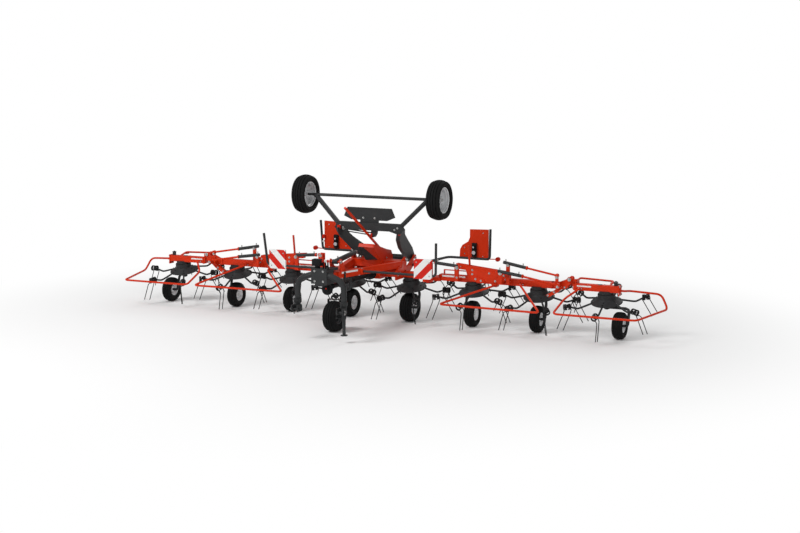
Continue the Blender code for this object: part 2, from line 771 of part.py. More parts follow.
def outer_clevis():
    """The two lugs and the pin that carry an outer wing."""
    root = OUTER_X - OUTER_ROOT
    pieces = []
    for front in (-1, 1):
        inner = front * CLEVIS_GAP
        outer = front * (CLEVIS_GAP + CLEVIS_LUG)
        pieces.append(front_plate(CLEVIS_OUTLINE, inner, outer))
        pieces.append(box((root, front * (BEAM_HALF - SINK / 2), BEAM_Z - CLEVIS_SPACER),
                          (INNER_BEAM_END - SINK, inner + front * SINK / 4,
                           BEAM_Z + CLEVIS_SPACER)))
    reach = CLEVIS_GAP + CLEVIS_LUG * 2
    pieces.append(rod((OUTER_X, -reach, OUTER_Z), (OUTER_X, reach, OUTER_Z), OUTER_PIN_RADIUS))
    return pieces


def lift_cylinder():
    """The wing's lift cylinder, held on the wing and opened at the centre post's pin."""
    x, end_x = LIFT_EYE_X, LIFT_END_X
    collar = (LIFT_COLLAR_X, LIFT_Y, LIFT_EYE_Z)
    end = (end_x, LIFT_Y, LIFT_END_Z)
    inner_x = end_x - POST_HALF
    return [
        rod(collar, end, SLEEVE_RADIUS),
        rod((x, LIFT_Y, LIFT_EYE_Z), (collar[0] + SINK, LIFT_Y, LIFT_EYE_Z), SHAFT_RADIUS,
            SMALL_ROUND),
        rod((x, LIFT_Y - EYE_HALF, LIFT_EYE_Z), (x, LIFT_Y + EYE_HALF, LIFT_EYE_Z), EYE_RADIUS),
        box((inner_x, LIFT_Y - STAY_HALF, BEAM_Z - STAY_HALF),
            (end_x + STAY_HALF, LIFT_Y + STAY_HALF, LIFT_END_Z)),
        box((inner_x, LIFT_Y, BEAM_Z - STAY_HALF), (end_x + STAY_HALF, 0, BEAM_Z + STAY_HALF)),
    ]


def fold_cylinder(y, start, end, far, post_x):
    """A fold cylinder in front of the wing's beam, between its post and a stay near the hinge."""
    (start_x, start_z), (end_x, end_z), (far_x, far_z) = start, end, far
    overlap_x = (start_x + end_x) / 2
    post_in, post_out = post_x - FOLDER_POST_HALF, post_x + FOLDER_POST_HALF
    far_in, far_out = far_x - STAY_HALF, far_x + STAY_HALF
    low, high = BEAM_Z - STAY_HALF, BEAM_Z + STAY_HALF
    pieces = [
        rod((start_x, y, start_z), (end_x, y, end_z), SLEEVE_RADIUS),
        rod((overlap_x, y, (start_z + end_z) / 2), (far_x, y, far_z), SHAFT_RADIUS, SMALL_ROUND),
    ]
    for first, second, top in ((post_in, post_out, start_z), (far_in, far_out, far_z)):
        pieces.append(box((first, y - FOLDER_PLATE, low), (second, y + FOLDER_PLATE, top)))
        pieces.append(box((first, y, low), (second, 0, high)))
    return pieces


def wing_channel():
    """The sloping trough over the beam between its cheeks, the lobed lever, brackets and marker rod."""
    def flat(outline, half):
        return front_plate(outline, -half, half)

    hollow = flat(CHANNEL_HOLLOW, CHANNEL_HALF - CHANNEL_WALL)
    trough = combine([flat(CHANNEL_OUTLINE, CHANNEL_HALF), hollow], "DIFFERENCE")
    return [
        as_object(trough),
        front_plate(CHEEK_OUTLINE, -CHEEK_HALF, CHEEK_PLATE - CHEEK_HALF),
        front_plate(CHEEK_OUTLINE, CHEEK_HALF - CHEEK_PLATE, CHEEK_HALF),
        front_plate(LEVER_OUTLINE, -LEVER_HALF, 0),
        flat(GUARD_BRACKET_OUTLINE, CHANNEL_HALF),
        front_plate(HINGE_LEVER_OUTLINE, HINGE_LEVER_FRONT, -BEAM_HALF + SINK),
        rod(*MARK_ROD, MARK_RADIUS, SMALL_ROUND),
        rod(*LINK_ROD, LINK_RADIUS, SMALL_ROUND),
        box((LINK_ROD[0][0], LINK_ROD[0][1] - LINK_RADIUS, BEAM_Z),
            (LINK_ROD[0][0] + SINK, LINK_ROD[0][1] + LINK_RADIUS, LINK_ROD[0][2])),
    ]


def wing_outer(machine, side, parent, meshes):
    """The outer wing with its one rotor, hinged on top of the inner wing's end."""
    sign = SIDES[side]
    x = sign * OUTER_X
    carrier = machine.carrier(f"outer_{side}", (x, 0, OUTER_Z), parent)
    along = Matrix.Translation((x, 0, OUTER_Z)) @ Matrix.Rotation(pi / 2, 4, "X")
    end_x = sign * outer_end()
    cap = (end_x - sign * END_CAP_IN, 0, BEAM_Z)
    rod_x, rod_y, rod_z = mirrored(OUTER_ROD, sign)[0]
    pieces = [
        beam(sign * OUTER_BEAM_START, end_x),
        box((end_x - sign * END_PLATE, -END_PLATE_HALF, BEAM_Z - BEAM_HALF - END_PLATE_DROP),
            (end_x - sign * WELD, END_PLATE_HALF, BEAM_Z + END_PLATE_HALF)),
        gearbox(sign * rotor_x(4)),
        ring(HINGE_RADIUS, OUTER_PIN_RADIUS + PLAY, -LINK_HALF, LINK_HALF, along),
        box((x + sign * (OUTER_PIN_RADIUS + PLAY * 2), -LINK_HALF, BEAM_Z),
            (sign * (OUTER_BEAM_START + LINK_HALF * 2), LINK_HALF, OUTER_Z)),
        rod(cap, (cap[0], 0, BEAM_Z + BEAM_HALF + END_CAP_HEIGHT), END_CAP_RADIUS, SMALL_ROUND),
        tube(rounded(mirrored(OUTER_ROD, sign), GUARD_BEND / 2), SHAFT_RADIUS),
        box((rod_x - LINK_HALF, 0, BEAM_Z), (rod_x + LINK_HALF, rod_y + LINK_HALF, rod_z + LINK_HALF)),
    ]
    machine.fuse(f"outer_beam_{side}", pieces, carrier, "red")
    rotor_unit(machine, side, 4, carrier, meshes)
    guard(machine, f"guard_outer_{side}", mirrored(guard_outer_route(), sign), carrier)


def guard_outer_route():
    """From a seat on the beam's front, round the rotor, to a seat on the beam's end."""
    axis = rotor_x(len(WHEELS))
    route = [(axis + x, y, z) for x, y, z in GUARD_OUTER]
    first, last = route[0], route[-1]
    start, end = (first[0], -BEAM_HALF - SEAT, first[2]), (outer_end() + SEAT, *last[1:])
    return [start, *route, end]


def guard_inner_route():
    """Between two seats on the wing: its guard bracket's front and its beam's front."""
    first, last = GUARD_INNER[0], GUARD_INNER[-1]
    start, end = (first[0], -CHANNEL_HALF - SEAT, first[2]), (last[0], -BEAM_HALF - SEAT, last[2])
    return [start, *GUARD_INNER, end]


def guard(machine, name, route, carrier):
    machine.place(tube(rounded(route, GUARD_BEND), GUARD_RADIUS), carrier, name, "red")


def drawbar(machine):
    """The V of the drawbar, its side plates, hood, lug and the leaning tube, as one weldment."""
    pieces = [
        box(CROSS_BOX_LOW, CROSS_BOX_HIGH),
        side_plate(HOOD_OUTLINE, -HOOD_HALF, HOOD_HALF),
        rod(TUBE_FOOT, TUBE_TOP, TUBE_RADIUS, SMALL_ROUND),
    ]
    for sign in SIDES.values():
        (front, rear) = mirrored([V_FRONT, V_REAR], sign)
        pieces.append(strut(front, rear, V_WIDTH, V_HEIGHT))
        pieces.append(side_plate(side_outline(), sign * SIDE_PLATE_IN, sign * SIDE_PLATE_OUT))
        pin = [(SIDE_PLATE_IN - SINK, *SIDE_PIN), (SIDE_PLATE_OUT + SINK, *SIDE_PIN)]
        pieces.append(rod(*mirrored(pin, sign), PIN_RADIUS, SMALL_ROUND))
        pieces.append(box(*mirrored([ARM_PAD_LOW, ARM_PAD_HIGH], sign)))
        lug = sign * (LUG_HALF - LUG_PLATE)
        pieces.append(side_plate(LUG_OUTLINE, lug, sign * LUG_HALF))
    pieces.append(rod((-LUG_HALF, *LUG_PIN), (LUG_HALF, *LUG_PIN), OUTER_PIN_RADIUS, ROUND))
    pieces.append(box((-LUG_HALF, SWIVEL_Y + EYE_RING_RADIUS / 2, EYE_RING_LOW),
                      (LUG_HALF, LUG_OUTLINE[-1][0], EYE_RING_HIGH)))
    pieces.append(ring(EYE_RING_RADIUS, PIN_RADIUS + PLAY, EYE_RING_LOW, EYE_RING_HIGH,
                       Matrix.Translation((0, SWIVEL_Y, 0))))
    body = as_object(combine(pieces))
    bore = rod((0, SWIVEL_Y, EYE_RING_LOW - SINK), (0, SWIVEL_Y, EYE_RING_HIGH + SINK),
               PIN_RADIUS + PLAY, ROUND)
    machine.place(as_object(combine([body, bore], "DIFFERENCE")), machine.origin, "drawbar", "red")


def side_outline():
    """A side plate's (y, z) outline, with a notch that seats on the centre beam's front."""
    face = -BEAM_HALF - SEAT
    return [*SIDE_RAMP, (face, SIDE_RAMP[-1][1]), (face, SIDE_STEP), *SIDE_CROWN]


def chassis(machine):
    """The transport chassis: pivot tube, cranked legs, cross beam, arms and the long axle."""
    carrier = machine.carrier("chassis", (0, CHASSIS_Y, CHASSIS_Z), machine.origin)
    x, y, z = TRANSPORT_X, TRANSPORT_Y, TRANSPORT_Z
    end = BRACKET_IN - SEAT
    tread = x - TRANSPORT_WIDTH / 2 - SINK
    hub = x + TRANSPORT_WIDTH * HUB_HALF_SHARE
    pieces = [
        rod((-tread, y, z), (tread, y, z), AXLE_BAR_RADIUS),
        rod((-hub, y, z), (hub, y, z), AXLE_RADIUS),
        front_plate(CROSS_BEAM_OUTLINE, CROSS_BEAM_FRONT, CROSS_BEAM_REAR),
        front_plate(HOOK_OUTLINE, CROSS_BEAM_FRONT + LUG_PLATE, CROSS_BEAM_REAR - LUG_PLATE),
        rod((-end, CHASSIS_Y, CHASSIS_Z), (end, CHASSIS_Y, CHASSIS_Z), PIVOT_RADIUS),
    ]
    for sign in SIDES.values():
        lean = Matrix.Identity(4)
        lean[0][2], lean[0][3] = sign * LEVER_LEAN, -sign * LEVER_LEAN * CHASSIS_Z
        pieces.append(side_plate(LEVER_PROFILE, sign * LEVER_X - LEVER_WIDTH / 2,
                                 sign * LEVER_X + LEVER_WIDTH / 2, lean))
        pieces.append(tube(mirrored([CHASSIS_ARM_ROOT, CHASSIS_ARM_TIP], sign), CHASSIS_ARM_RADIUS))
    machine.fuse("chassis_frame", pieces, carrier, "dark")
    sign_panel(machine, carrier)
    for side, sign in SIDES.items():
        wheel(machine, f"transport_{side}", (sign * x, y, z), (TRANSPORT_DIAMETER, TRANSPORT_WIDTH),
              carrier, TRANSPORT_RIM_SHARE)


def sign_panel(machine, carrier):
    """The bare panel above the cross beam, on a short stand that seats on the beam."""
    foot = max(z for _, z in CROSS_BEAM_OUTLINE) + SEAT
    middle = min(z for _, z in SIGN_OUTLINE) + SINK
    pieces = [
        front_plate(SIGN_OUTLINE, SIGN_FRONT, SIGN_REAR),
        box((-SIGN_STAND_HALF, SIGN_FRONT + WELD, foot), (SIGN_STAND_HALF, SIGN_REAR - WELD, middle)),
    ]
    machine.fuse("sign_panel", pieces, carrier, "dark")


def chassis_bracket(machine):
    """The uprights behind the centre beam that carry the transport chassis's pivot tube."""
    face = BEAM_HALF + SEAT
    outline = [(face, BRACKET_LOW), *BRACKET_OUTLINE, (face, BRACKET_TOP)]
    outer = BRACKET_IN + BRACKET_PLATE
    pieces = [box((-outer + WELD, face, BRACKET_LOW), (outer - WELD, face + BRACKET_WEB, BRACKET_TOP))]
    for sign in SIDES.values():
        pieces.append(side_plate(outline, sign * BRACKET_IN, sign * outer))
    machine.fuse("chassis_bracket", pieces, machine.origin, "red")


def chassis_cylinder(machine):
    """The cylinder that lifts the chassis, held at the drawbar's lug and opened at its rod's eye."""
    pin, rear = Vector((0, *LUG_PIN)), Vector(CHASSIS_CYLINDER_REAR)
    along = (rear - pin).normalized()
    across = Matrix.Translation(pin) @ Matrix.Rotation(pi / 2, 4, "Y")
    pieces = [
        ring(HINGE_RADIUS, OUTER_PIN_RADIUS + PLAY, -CHASSIS_BARREL_RADIUS, CHASSIS_BARREL_RADIUS, across),
        rod(pin + along * HINGE_RADIUS * EYE_SHARE, rear, CHASSIS_BARREL_RADIUS),
        rod(rear - along * SINK, rear + along * POST_ROOT, OUTER_PIN_RADIUS),
    ]
    machine.fuse("chassis_cylinder", pieces, machine.origin, "dark")


def headstock(machine):
    """The swivelling two-point headstock: an arch whose right leg is the jack's socket."""
    carrier = machine.carrier("headstock", (0, SWIVEL_Y, SWIVEL_Z), machine.origin)
    half_route = [(ARCH_HALF, HITCH_Y, ARCH_FOOT), (ARCH_HALF, HITCH_Y, ARCH_SHOULDER),
                  (PLATE_HALF, HITCH_Y, ARCH_TOP)]
    route = mirrored(half_route, -1) + half_route[::-1]
    pieces = [
        tube(rounded(route, ARCH_BEND, 4), ARCH_RADIUS, detail=2),
        box((-PLATE_HALF, PLATE_FRONT, PLATE_LOW),
            (PLATE_HALF, PLATE_FRONT + PLATE_THICKNESS, PLATE_HIGH)),
        box((-CLEVIS_HALF, PLATE_FRONT + WELD, CLEVIS_LOW), (CLEVIS_HALF, CLEVIS_ROOT, CLEVIS_HIGH)),
        rod((0, SWIVEL_Y, CLEVIS_LOW + WELD), (0, SWIVEL_Y, CLEVIS_HIGH - WELD), PIN_RADIUS, ROUND),
    ]
    for low, high in ((CLEVIS_LOW, CLEVIS_LOW + CLEVIS_PLATE), (CLEVIS_HIGH - CLEVIS_PLATE, CLEVIS_HIGH)):
        pieces.append(box((-CLEVIS_HALF, CLEVIS_ROOT - SINK, low), (CLEVIS_HALF, CLEVIS_REAR, high)))
    for sign in SIDES.values():
        for cheek in CHEEK_INS:
            pieces.append(box((sign * cheek, CHEEK_FRONT, CHEEK_LOW),
                              (sign * (cheek + CHEEK_THICKNESS), HITCH_Y, CHEEK_HIGH)))
        pieces.append(box((sign * CHEEK_INS[0], HITCH_Y - SINK, CHEEK_LOW + SINK / 2),
                          (sign * (CHEEK_INS[1] + SINK / 2), HITCH_Y + SINK / 2, CHEEK_HIGH - SINK / 2)))
        pin = [(LINK_PIN_IN, LINK_PIN_Y, LINK_PIN_Z), (LINK_PIN_OUT, LINK_PIN_Y, LINK_PIN_Z)]
        pieces.append(rod(*mirrored(pin, sign), LINK_PIN_RADIUS))
    body = as_object(combine(pieces))
    socket = rod((ARCH_HALF, HITCH_Y, CHEEK_LOW - SINK), (ARCH_HALF, HITCH_Y, JACK_BORE_TOP),
                 JACK_BORE, ROUND)
    frame = as_object(combine([body, socket], "DIFFERENCE"))
    machine.place(frame, carrier, "headstock_frame", "dark")
    jack(machine, carrier)


def jack(machine, parent):
    """The parking jack: a leg that slides up into the headstock's right leg, and its foot."""
    x, y = ARCH_HALF, HITCH_Y
    carrier = machine.carrier("jack", (x, y, JACK_TOP), parent)
    pieces = [
        rod((x, y, JACK_FOOT + WELD), (x, y, JACK_TOP), JACK_RADIUS, ROUND),
        rod((x, y, JACK_FOOT), (x, y, JACK_FOOT + FOOT_HEIGHT), FOOT_RADIUS),
    ]
    machine.fuse("jack_leg", pieces, carrier, "dark")


def pto_shaft(machine):
    """The guarded drive shaft from the tractor's side back to the centre gearbox."""
    length = CENTRE_BOX_LOW[1] - SEAT - SHAFT_FRONT_Y
    outer = SHAFT_STEPS + [(length, SHAFT_STEPS[-1][1])]
    profile = [(0, 0)] + [(radius, distance) for distance, radius in outer] + [(0, length)]
    along = Matrix.Translation((0, SHAFT_FRONT_Y, SHAFT_Z)) @ Matrix.Rotation(-pi / 2, 4, "X")
    machine.place(turned(profile, ROUND, along), machine.origin, "pto_shaft", "black")


def support_wheel(machine):
    """The front support wheel, its hooked bar and the bar's seat under the drawbar's right arm."""
    place = (SUPPORT_X, SUPPORT_Y, SUPPORT_DIAMETER / 2)
    top_x, knee_z = SUPPORT_TOP
    seat_z = V_FRONT[2] - V_HEIGHT / 2 - SEAT
    start = [(top_x, SUPPORT_Y, seat_z), (top_x, SUPPORT_Y, knee_z)]
    pieces = wheel_hook(place, 1, SUPPORT_WIDTH, start, SUPPORT_BAR_RADIUS, BOARD_BEND)
    machine.fuse("support_wheel_bar", pieces, machine.origin, "dark")
    wheel(machine, "support", place, (SUPPORT_DIAMETER, SUPPORT_WIDTH), machine.origin, RIM_SHARE)


def boards(machine):
    """The warning boards on the drawbar's arms, and the rear plates on the chassis bracket."""
    for side, sign in SIDES.items():
        start_x = ARM_PAD_HIGH[0] + SEAT
        start = (start_x, *FRONT_BOARD_ROUTE[0][1:])
        route = rounded(mirrored([start, *FRONT_BOARD_ROUTE], sign), BOARD_BEND)
        corners = mirrored([FRONT_BOARD_LOW, FRONT_BOARD_HIGH], sign)
        pieces = [tube(route, BOARD_TUBE_RADIUS), box(*corners)]
        machine.fuse(f"board_front_{side}", pieces, machine.origin, "board")
        start = (BRACKET_IN + BRACKET_PLATE + SEAT, *REAR_BOARD_ROUTE[0][1:])
        route = rounded(mirrored([start, *REAR_BOARD_ROUTE], sign), BOARD_BEND)
        pieces = [
            tube(route, BOARD_TUBE_RADIUS),
            front_plate(mirrored(REAR_PLATE_OUTLINE, sign), REAR_PLATE_FRONT, REAR_Y),
            rod(*mirrored(BALL_STEM, sign), BOARD_TUBE_RADIUS / 2, SMALL_ROUND),
            ball(*mirrored(BALL_STEM[-1:], sign), BALL_RADIUS),
        ]
        machine.fuse(f"board_rear_{side}", pieces, machine.origin, "red")


def main():
    for made in list(bpy.data.objects):
        bpy.data.objects.remove(made)
    machine = Machine()
    meshes = {turn: rotor_mesh(turn) for turn in (-1, 1)}
    centre_beam(machine)
    drawbar(machine)
    chassis_bracket(machine)
    chassis(machine)
    chassis_cylinder(machine)
    headstock(machine)
    pto_shaft(machine)
    support_wheel(machine)
    boards(machine)
    for side in SIDES:
        rotor_unit(machine, side, 1, machine.origin, meshes)
        inner = wing_inner(machine, side, meshes)
        wing_outer(machine, side, inner, meshes)
    machine.origin.location.y = -(CHEEK_FRONT + REAR_Y) / 2


main()
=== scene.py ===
"""The looks of the hay tedder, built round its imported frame.

Metres, +Z up. +X is the right wing and -Y the front. Places below are in the machine's frame, whose
Y = 0 is the working wheels' centre line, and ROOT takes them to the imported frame. Places and routes
are for the right side, and the left side takes them mirrored.
"""
import json
import bmesh
import bpy
from collections import namedtuple
from math import cos, pi, radians, sin
from mathutils import Matrix, Vector


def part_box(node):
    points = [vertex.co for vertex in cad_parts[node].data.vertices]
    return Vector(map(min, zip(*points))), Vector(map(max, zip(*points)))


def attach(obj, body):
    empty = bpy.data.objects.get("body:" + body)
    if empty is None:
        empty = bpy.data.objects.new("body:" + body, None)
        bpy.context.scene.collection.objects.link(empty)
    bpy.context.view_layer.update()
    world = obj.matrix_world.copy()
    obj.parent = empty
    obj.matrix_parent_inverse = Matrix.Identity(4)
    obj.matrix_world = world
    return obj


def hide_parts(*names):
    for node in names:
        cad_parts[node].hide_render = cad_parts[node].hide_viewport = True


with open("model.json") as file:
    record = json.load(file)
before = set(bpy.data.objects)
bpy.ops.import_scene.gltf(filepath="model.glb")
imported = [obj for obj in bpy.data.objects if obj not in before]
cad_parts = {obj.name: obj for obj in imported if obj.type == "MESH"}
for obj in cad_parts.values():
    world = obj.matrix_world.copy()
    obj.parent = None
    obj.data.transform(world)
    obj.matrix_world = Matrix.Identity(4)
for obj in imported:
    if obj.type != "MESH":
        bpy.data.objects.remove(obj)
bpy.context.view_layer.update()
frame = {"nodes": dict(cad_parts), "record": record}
SIDES = {"left": -1, "right": 1}
BODIES = frame["record"]["behaviour"]["bodies"]
BODY_OF = {node: body for body, nodes in BODIES.items() for node in nodes}

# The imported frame's Y at the machine's Y = 0, from a working wheel's box
WHEEL_LOW, WHEEL_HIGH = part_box("tyre_right_2")
ROOT = Matrix.Translation((0, (WHEEL_LOW.y + WHEEL_HIGH.y) / 2, 0))

# The photograph's view
IMAGE_WIDTH = 800
CAMERA_DISTANCE = 22.9906
CAMERA_AZIMUTH = radians(25.0134)
CAMERA_HEIGHT_ANGLE = radians(8.487)
CAMERA_FOCAL_PIXELS = 1448.19
CAMERA_AIM = Vector((0.3588, 0, 0.868))
SENSOR_MM = 36

# Edges and facets
WELD = 0.00002
FLAT = radians(0.3)
CREASE = radians(38)
BEVEL_ANGLE = radians(52)
BEVEL_WIDTH = 0.0025
BEVEL_SEGMENTS = 2
BEVEL_PROFILE = 0.7
PLATE_BEVEL_SHARE = 0.25
ROD_BEVEL = 0.0015
ROD_BEVEL_SHARE = 0.2
CORNER_SHARE = 0.48
FINE = 24
MEDIUM = 16
COARSE = 10
WIRE_SIDES = 8
HEXAGON = 6
WHEEL_STEPS = 96
RIM_STEPS = 48
ARC_STEPS = 6

# A bolt's washer, head and shank: start, end and radius as shares of its size, and the sides of each
BOLT_PARTS = [(-0.1, 0.25, 1.5, MEDIUM), (0, 0.95, 1, HEXAGON), (0, 1.25, 0.5, COARSE)]

# Rotors
ARMS = 6
ROTORS_A_SIDE = 4
ROTOR_Y = 0.05
ROTOR_Z = 0.575
ROTOR_PITCH = 1.07
ROTOR_TILT = radians(13)
ROTOR_FINISHES = {"dish": "dish_paint", "tines": "spring_steel"}

# The dish: its corners, and the (out, up) steps that round each of them
BORE_RADIUS = 0.0422
HUB_RADIUS = 0.13
HUB_FOOT = 0.022
HUB_TOP = 0.1
DISH_RADIUS = 0.24
DISH_LIP = -0.03
DISH_WALL = 0.012
HUB_CREST = [(-0.012, 0), (-0.004, -0.003), (0, -0.012)]
HUB_FILLET = [(0, 0.016), (0.006, 0.004), (0.016, -0.004)]
LIP_CREST = [(-0.012, 0.003), (-0.003, -0.001), (0, -0.006)]
LIP_HEM = [(0, 0), (-0.006, 0), (-0.01, 0.006)]
UNDER_FILLET = [(0.01, -0.014)]

# The arms: their (radius, height) routes, and the flanges and bolts that hold them to the dish
ARM_RADIUS = 0.0145
ARM_ROUTE = [(0.15, -0.012), (0.40, -0.08), (0.44, -0.086), (0.47, -0.08), (0.56, -0.046), (0.625, -0.04)]
FLANGE_START = (0.152, 0, -0.018)
FLANGE_TILT = radians(15)
FLANGE_BOX = [(0, -0.02, -0.011), (0.075, 0.02, 0.011)]
DISH_BOLT_RINGS = (0.165, 0.212)
DISH_BOLT_RADIUS = 0.011
DISH_BOLT_SUNK = 0.004
DISH_BOLT_PROUD = 0.008
DISH_FALL = 0.47

# The coils about the arms' ends, their clamps, and the prongs that leave them
COIL_RING = 0.6
COIL_HEIGHT = -0.04
COIL_RADIUS = 0.041
COIL_WIRE = 0.0066
COIL_TURNS = 3
COIL_STEPS = 14
COIL_START = 0.012
COIL_END = 0.054
CLAMP_HALF = 0.009
CLAMP_REACH = 0.022
CLAMP_BOLT_RADIUS = 0.01
CLAMP_BOLT_REACH = 0.04
TINE_RING = 0.74
TINE_REACH = 0.37
TINE_TRAIL = 0.052
TINE_STEP = 0.017
TINE_BEND = 0.03
TINE_LEAD = 0.018
TINE_SPREAD = 0.046
TINE_ARC_STEPS = 4

# Wheels: seat_share is of the tyre's radius, and crown_share is the tread's fall, of the tyre's wall
WheelKind = namedtuple("WheelKind", "seat_share crown_share rim_finish cross_grooves bright_lips")
WHEEL_KINDS = {
    "working": WheelKind(0.5, 0.14, "rim_paint", True, False),
    "support": WheelKind(0.5, 0.14, "dark_rim", False, False),
    # Transport rims get white lips over their silver: a painted highlight, standing for the lit ring round
    # the rim's edge
    "transport": WheelKind(0.64, 0.33, "silver", False, True),
}

# The tyre's side, as shares of its wall and of its half width, and the shoulder that follows
TYRE_SIDE = [
    (0, 0.72), (0.04, 0.8), (0.12, 0.79), (0.2, 0.9), (0.36, 0.975), (0.52, 1.0), (0.64, 0.985),
    (0.73, 0.94), (0.79, 0.85),
]
SHOULDER_SHARE = 0.72
SHOULDER_DROP = 0.002
SHOULDER_POINTS = {8, 9, 10}

# The tread's points, as shares of the half width, and whether they lie in a groove
TREAD = [(0.60, 0), (0.57, 1), (0.53, 1), (0.50, 0), (0.24, 0), (0.21, 1), (0.17, 1), (0.14, 0)]
GROOVE = 0.011
CROSS_GROOVE_SHARE = 0.8
CROSS_GROOVE_STEPS = 4
BEAD_DEPTH = 0.004
BEAD_SHARE = 0.6

# The rim's band: drop below the seat, share of the half width, and step from there to the middle
RIM_FRONT = [
    (0, 1, 0), (-0.001, 1, 0.004), (0.002, 1, 0.012), (0.001, 0.5, 0), (0.016, 0.42, 0), (0.016, -0.42, 0),
    (0.001, -0.5, 0), (0.002, -1, 0.012), (0, -1, 0.003), (0.004, -1, 0), (0.008, -1, 0.003),
    (0.01, -0.62, 0), (0.024, -0.5, 0), (0.028, -0.2, 0),
]
RIM_BACK = [(0.028, -0.06, 0), (0.024, 0.5, 0), (0.01, 0.62, 0), (0.008, 1, 0.003), (0.004, 1, 0)]

# The rim's disc and hub: radius, share of the half width
RIM_HUB = [
    (0.07, -0.1), (0.045, -0.16), (0.043, -0.52), (0.021, -0.55), (0.021, 0.55), (0.043, 0.52),
    (0.045, 0.12), (0.07, 0.06),
]

# The lips on a rim's two faces, painted white over the silver as a painted highlight: steps out from the
# seat and along the axle
LIP = [(-0.001, -0.006), (0.001, 0), (-0.003, 0.002), (-0.009, 0.001), (-0.011, -0.006)]

# The wheels' nuts and hub caps, and the side of each cap, away from its leg
NUTS = 5
NUT_RING = 0.058
NUT_SIZE = 0.0075
NUT_SHARE = 0.06
CAP_RADIUS = 0.026
CAP_START_SHARE = 0.57
CAP_END_SHARE = 0.72
CAP_SIDES = {
    "left_1": 1, "left_2": -1, "left_3": 1, "left_4": -1, "right_1": -1, "right_2": 1, "right_3": -1,
    "right_4": -1, "support": -1, "transport_left": -1, "transport_right": 1,
}

# Paints: base colour, metallic, roughness, grain scale, colour change, bump
FINISHES = {
    "red_paint": ((0.62, 0.034, 0.007), 0.0, 0.33, 9, 0.08, 0.03),
    "dark_paint": ((0.036, 0.037, 0.038), 0.0, 0.42, 9, 0.2, 0.04),
    "dish_paint": ((0.032, 0.033, 0.034), 0.0, 0.48, 12, 0.25, 0.06),
    "rim_paint": ((0.82, 0.83, 0.84), 0.1, 0.3, 14, 0.05, 0.03),
    "silver": ((0.62, 0.63, 0.64), 0.4, 0.32, 14, 0.08, 0.03),
    "dark_rim": ((0.09, 0.092, 0.095), 0.4, 0.4, 14, 0.1, 0.03),
    "spring_steel": ((0.022, 0.022, 0.023), 0.2, 0.45, 40, 0.3, 0.04),
    "zinc": ((0.5, 0.5, 0.49), 0.85, 0.35, 60, 0.15, 0.02),
    "chrome": ((0.72, 0.72, 0.73), 1.0, 0.16, 60, 0.05, 0.01),
    "rubber": ((0.009, 0.009, 0.0092), 0.0, 0.78, 30, 0.35, 0.2),
    "plastic": ((0.012, 0.012, 0.013), 0.0, 0.5, 80, 0.15, 0.08),
    "white_film": ((0.8, 0.8, 0.79), 0.0, 0.35, 20, 0.03, 0.0),
    "red_cap": ((0.5, 0.02, 0.008), 0.0, 0.4, 20, 0.05, 0.0),
    "lamp_lens": ((0.55, 0.55, 0.57), 0.0, 0.12, 20, 0.03, 0.0),
}
SPECULAR = 0.12
STRIPE_RED = (0.6, 0.02, 0.012)
STRIPE_PITCH = 0.19
STRIPE_CENTRE = (1.245, 1.03)
STRIPE_SHIFT = 8
GRAIN_DETAIL = 4
GLOSS_CHANGE = 0.15
SKIN_SCALE = 25
SKIN_DEPTH = 0.002

# The studio
FLOOR_HALF = 60
FLOOR_COLOUR = (0.93, 0.93, 0.93, 1)
FLOOR_ROUGHNESS = 0.9
FADE_START = 3.5
FADE_END = 8.0
WHITE = (1, 1, 1, 1)
SURROUNDINGS_STRENGTH = 0.3
CLIP_SHARE = 8

# Lamps: name, place, size across, watts
LAMPS = [
    ("key", (-7, -10, 13), 7, 1750),
    ("fill", (11, -9, 8), 9, 450),
    ("back", (2, 12, 11), 10, 650),
]


def link(tree, start, end):
    tree.links.new(start, end)


def material(name):
    """The finish of this name, made once."""
    found = bpy.data.materials.get("finish_" + name)
    if found:
        return found
    made = bpy.data.materials.new("finish_" + name)
    made.use_nodes = True
    tree = made.node_tree
    shader = tree.nodes["Principled BSDF"]
    stripes = name.startswith("stripes")
    colour, metallic, roughness, scale, change, bump = FINISHES["white_film" if stripes else name]
    shader.inputs["Metallic"].default_value = metallic
    shader.inputs["Specular IOR Level"].default_value = SPECULAR
    place = tree.nodes.new("ShaderNodeTexCoord").outputs["Object"]
    grain = tree.nodes.new("ShaderNodeTexNoise")
    grain.inputs["Scale"].default_value = scale
    grain.inputs["Detail"].default_value = GRAIN_DETAIL
    link(tree, place, grain.inputs["Vector"])
    tint = tree.nodes.new("ShaderNodeMix")
    tint.data_type = "RGBA"
    tint.inputs["A"].default_value = (*[part * (1 - change) for part in colour], 1)
    tint.inputs["B"].default_value = (*[min(part * (1 + change), 1) for part in colour], 1)
    link(tree, grain.outputs["Fac"], tint.inputs["Factor"])
    paint = tint.outputs["Result"]
    if stripes:
        paint = striped(tree, place, paint, SIDES[name.split("_")[1]])
    link(tree, paint, shader.inputs["Base Color"])
    gloss = tree.nodes.new("ShaderNodeMapRange")
    gloss.inputs["To Min"].default_value = roughness * (1 - GLOSS_CHANGE)
    gloss.inputs["To Max"].default_value = roughness * (1 + GLOSS_CHANGE)
    link(tree, grain.outputs["Fac"], gloss.inputs["Value"])
    link(tree, gloss.outputs["Result"], shader.inputs["Roughness"])
    if bump:
        skin = tree.nodes.new("ShaderNodeTexNoise")
        skin.inputs["Scale"].default_value = scale * SKIN_SCALE
        link(tree, place, skin.inputs["Vector"])
        relief = tree.nodes.new("ShaderNodeBump")
        relief.inputs["Strength"].default_value = bump
        relief.inputs["Distance"].default_value = SKIN_DEPTH
        link(tree, skin.outputs["Fac"], relief.inputs["Height"])
        link(tree, relief.outputs["Normal"], shader.inputs["Normal"])
    return made


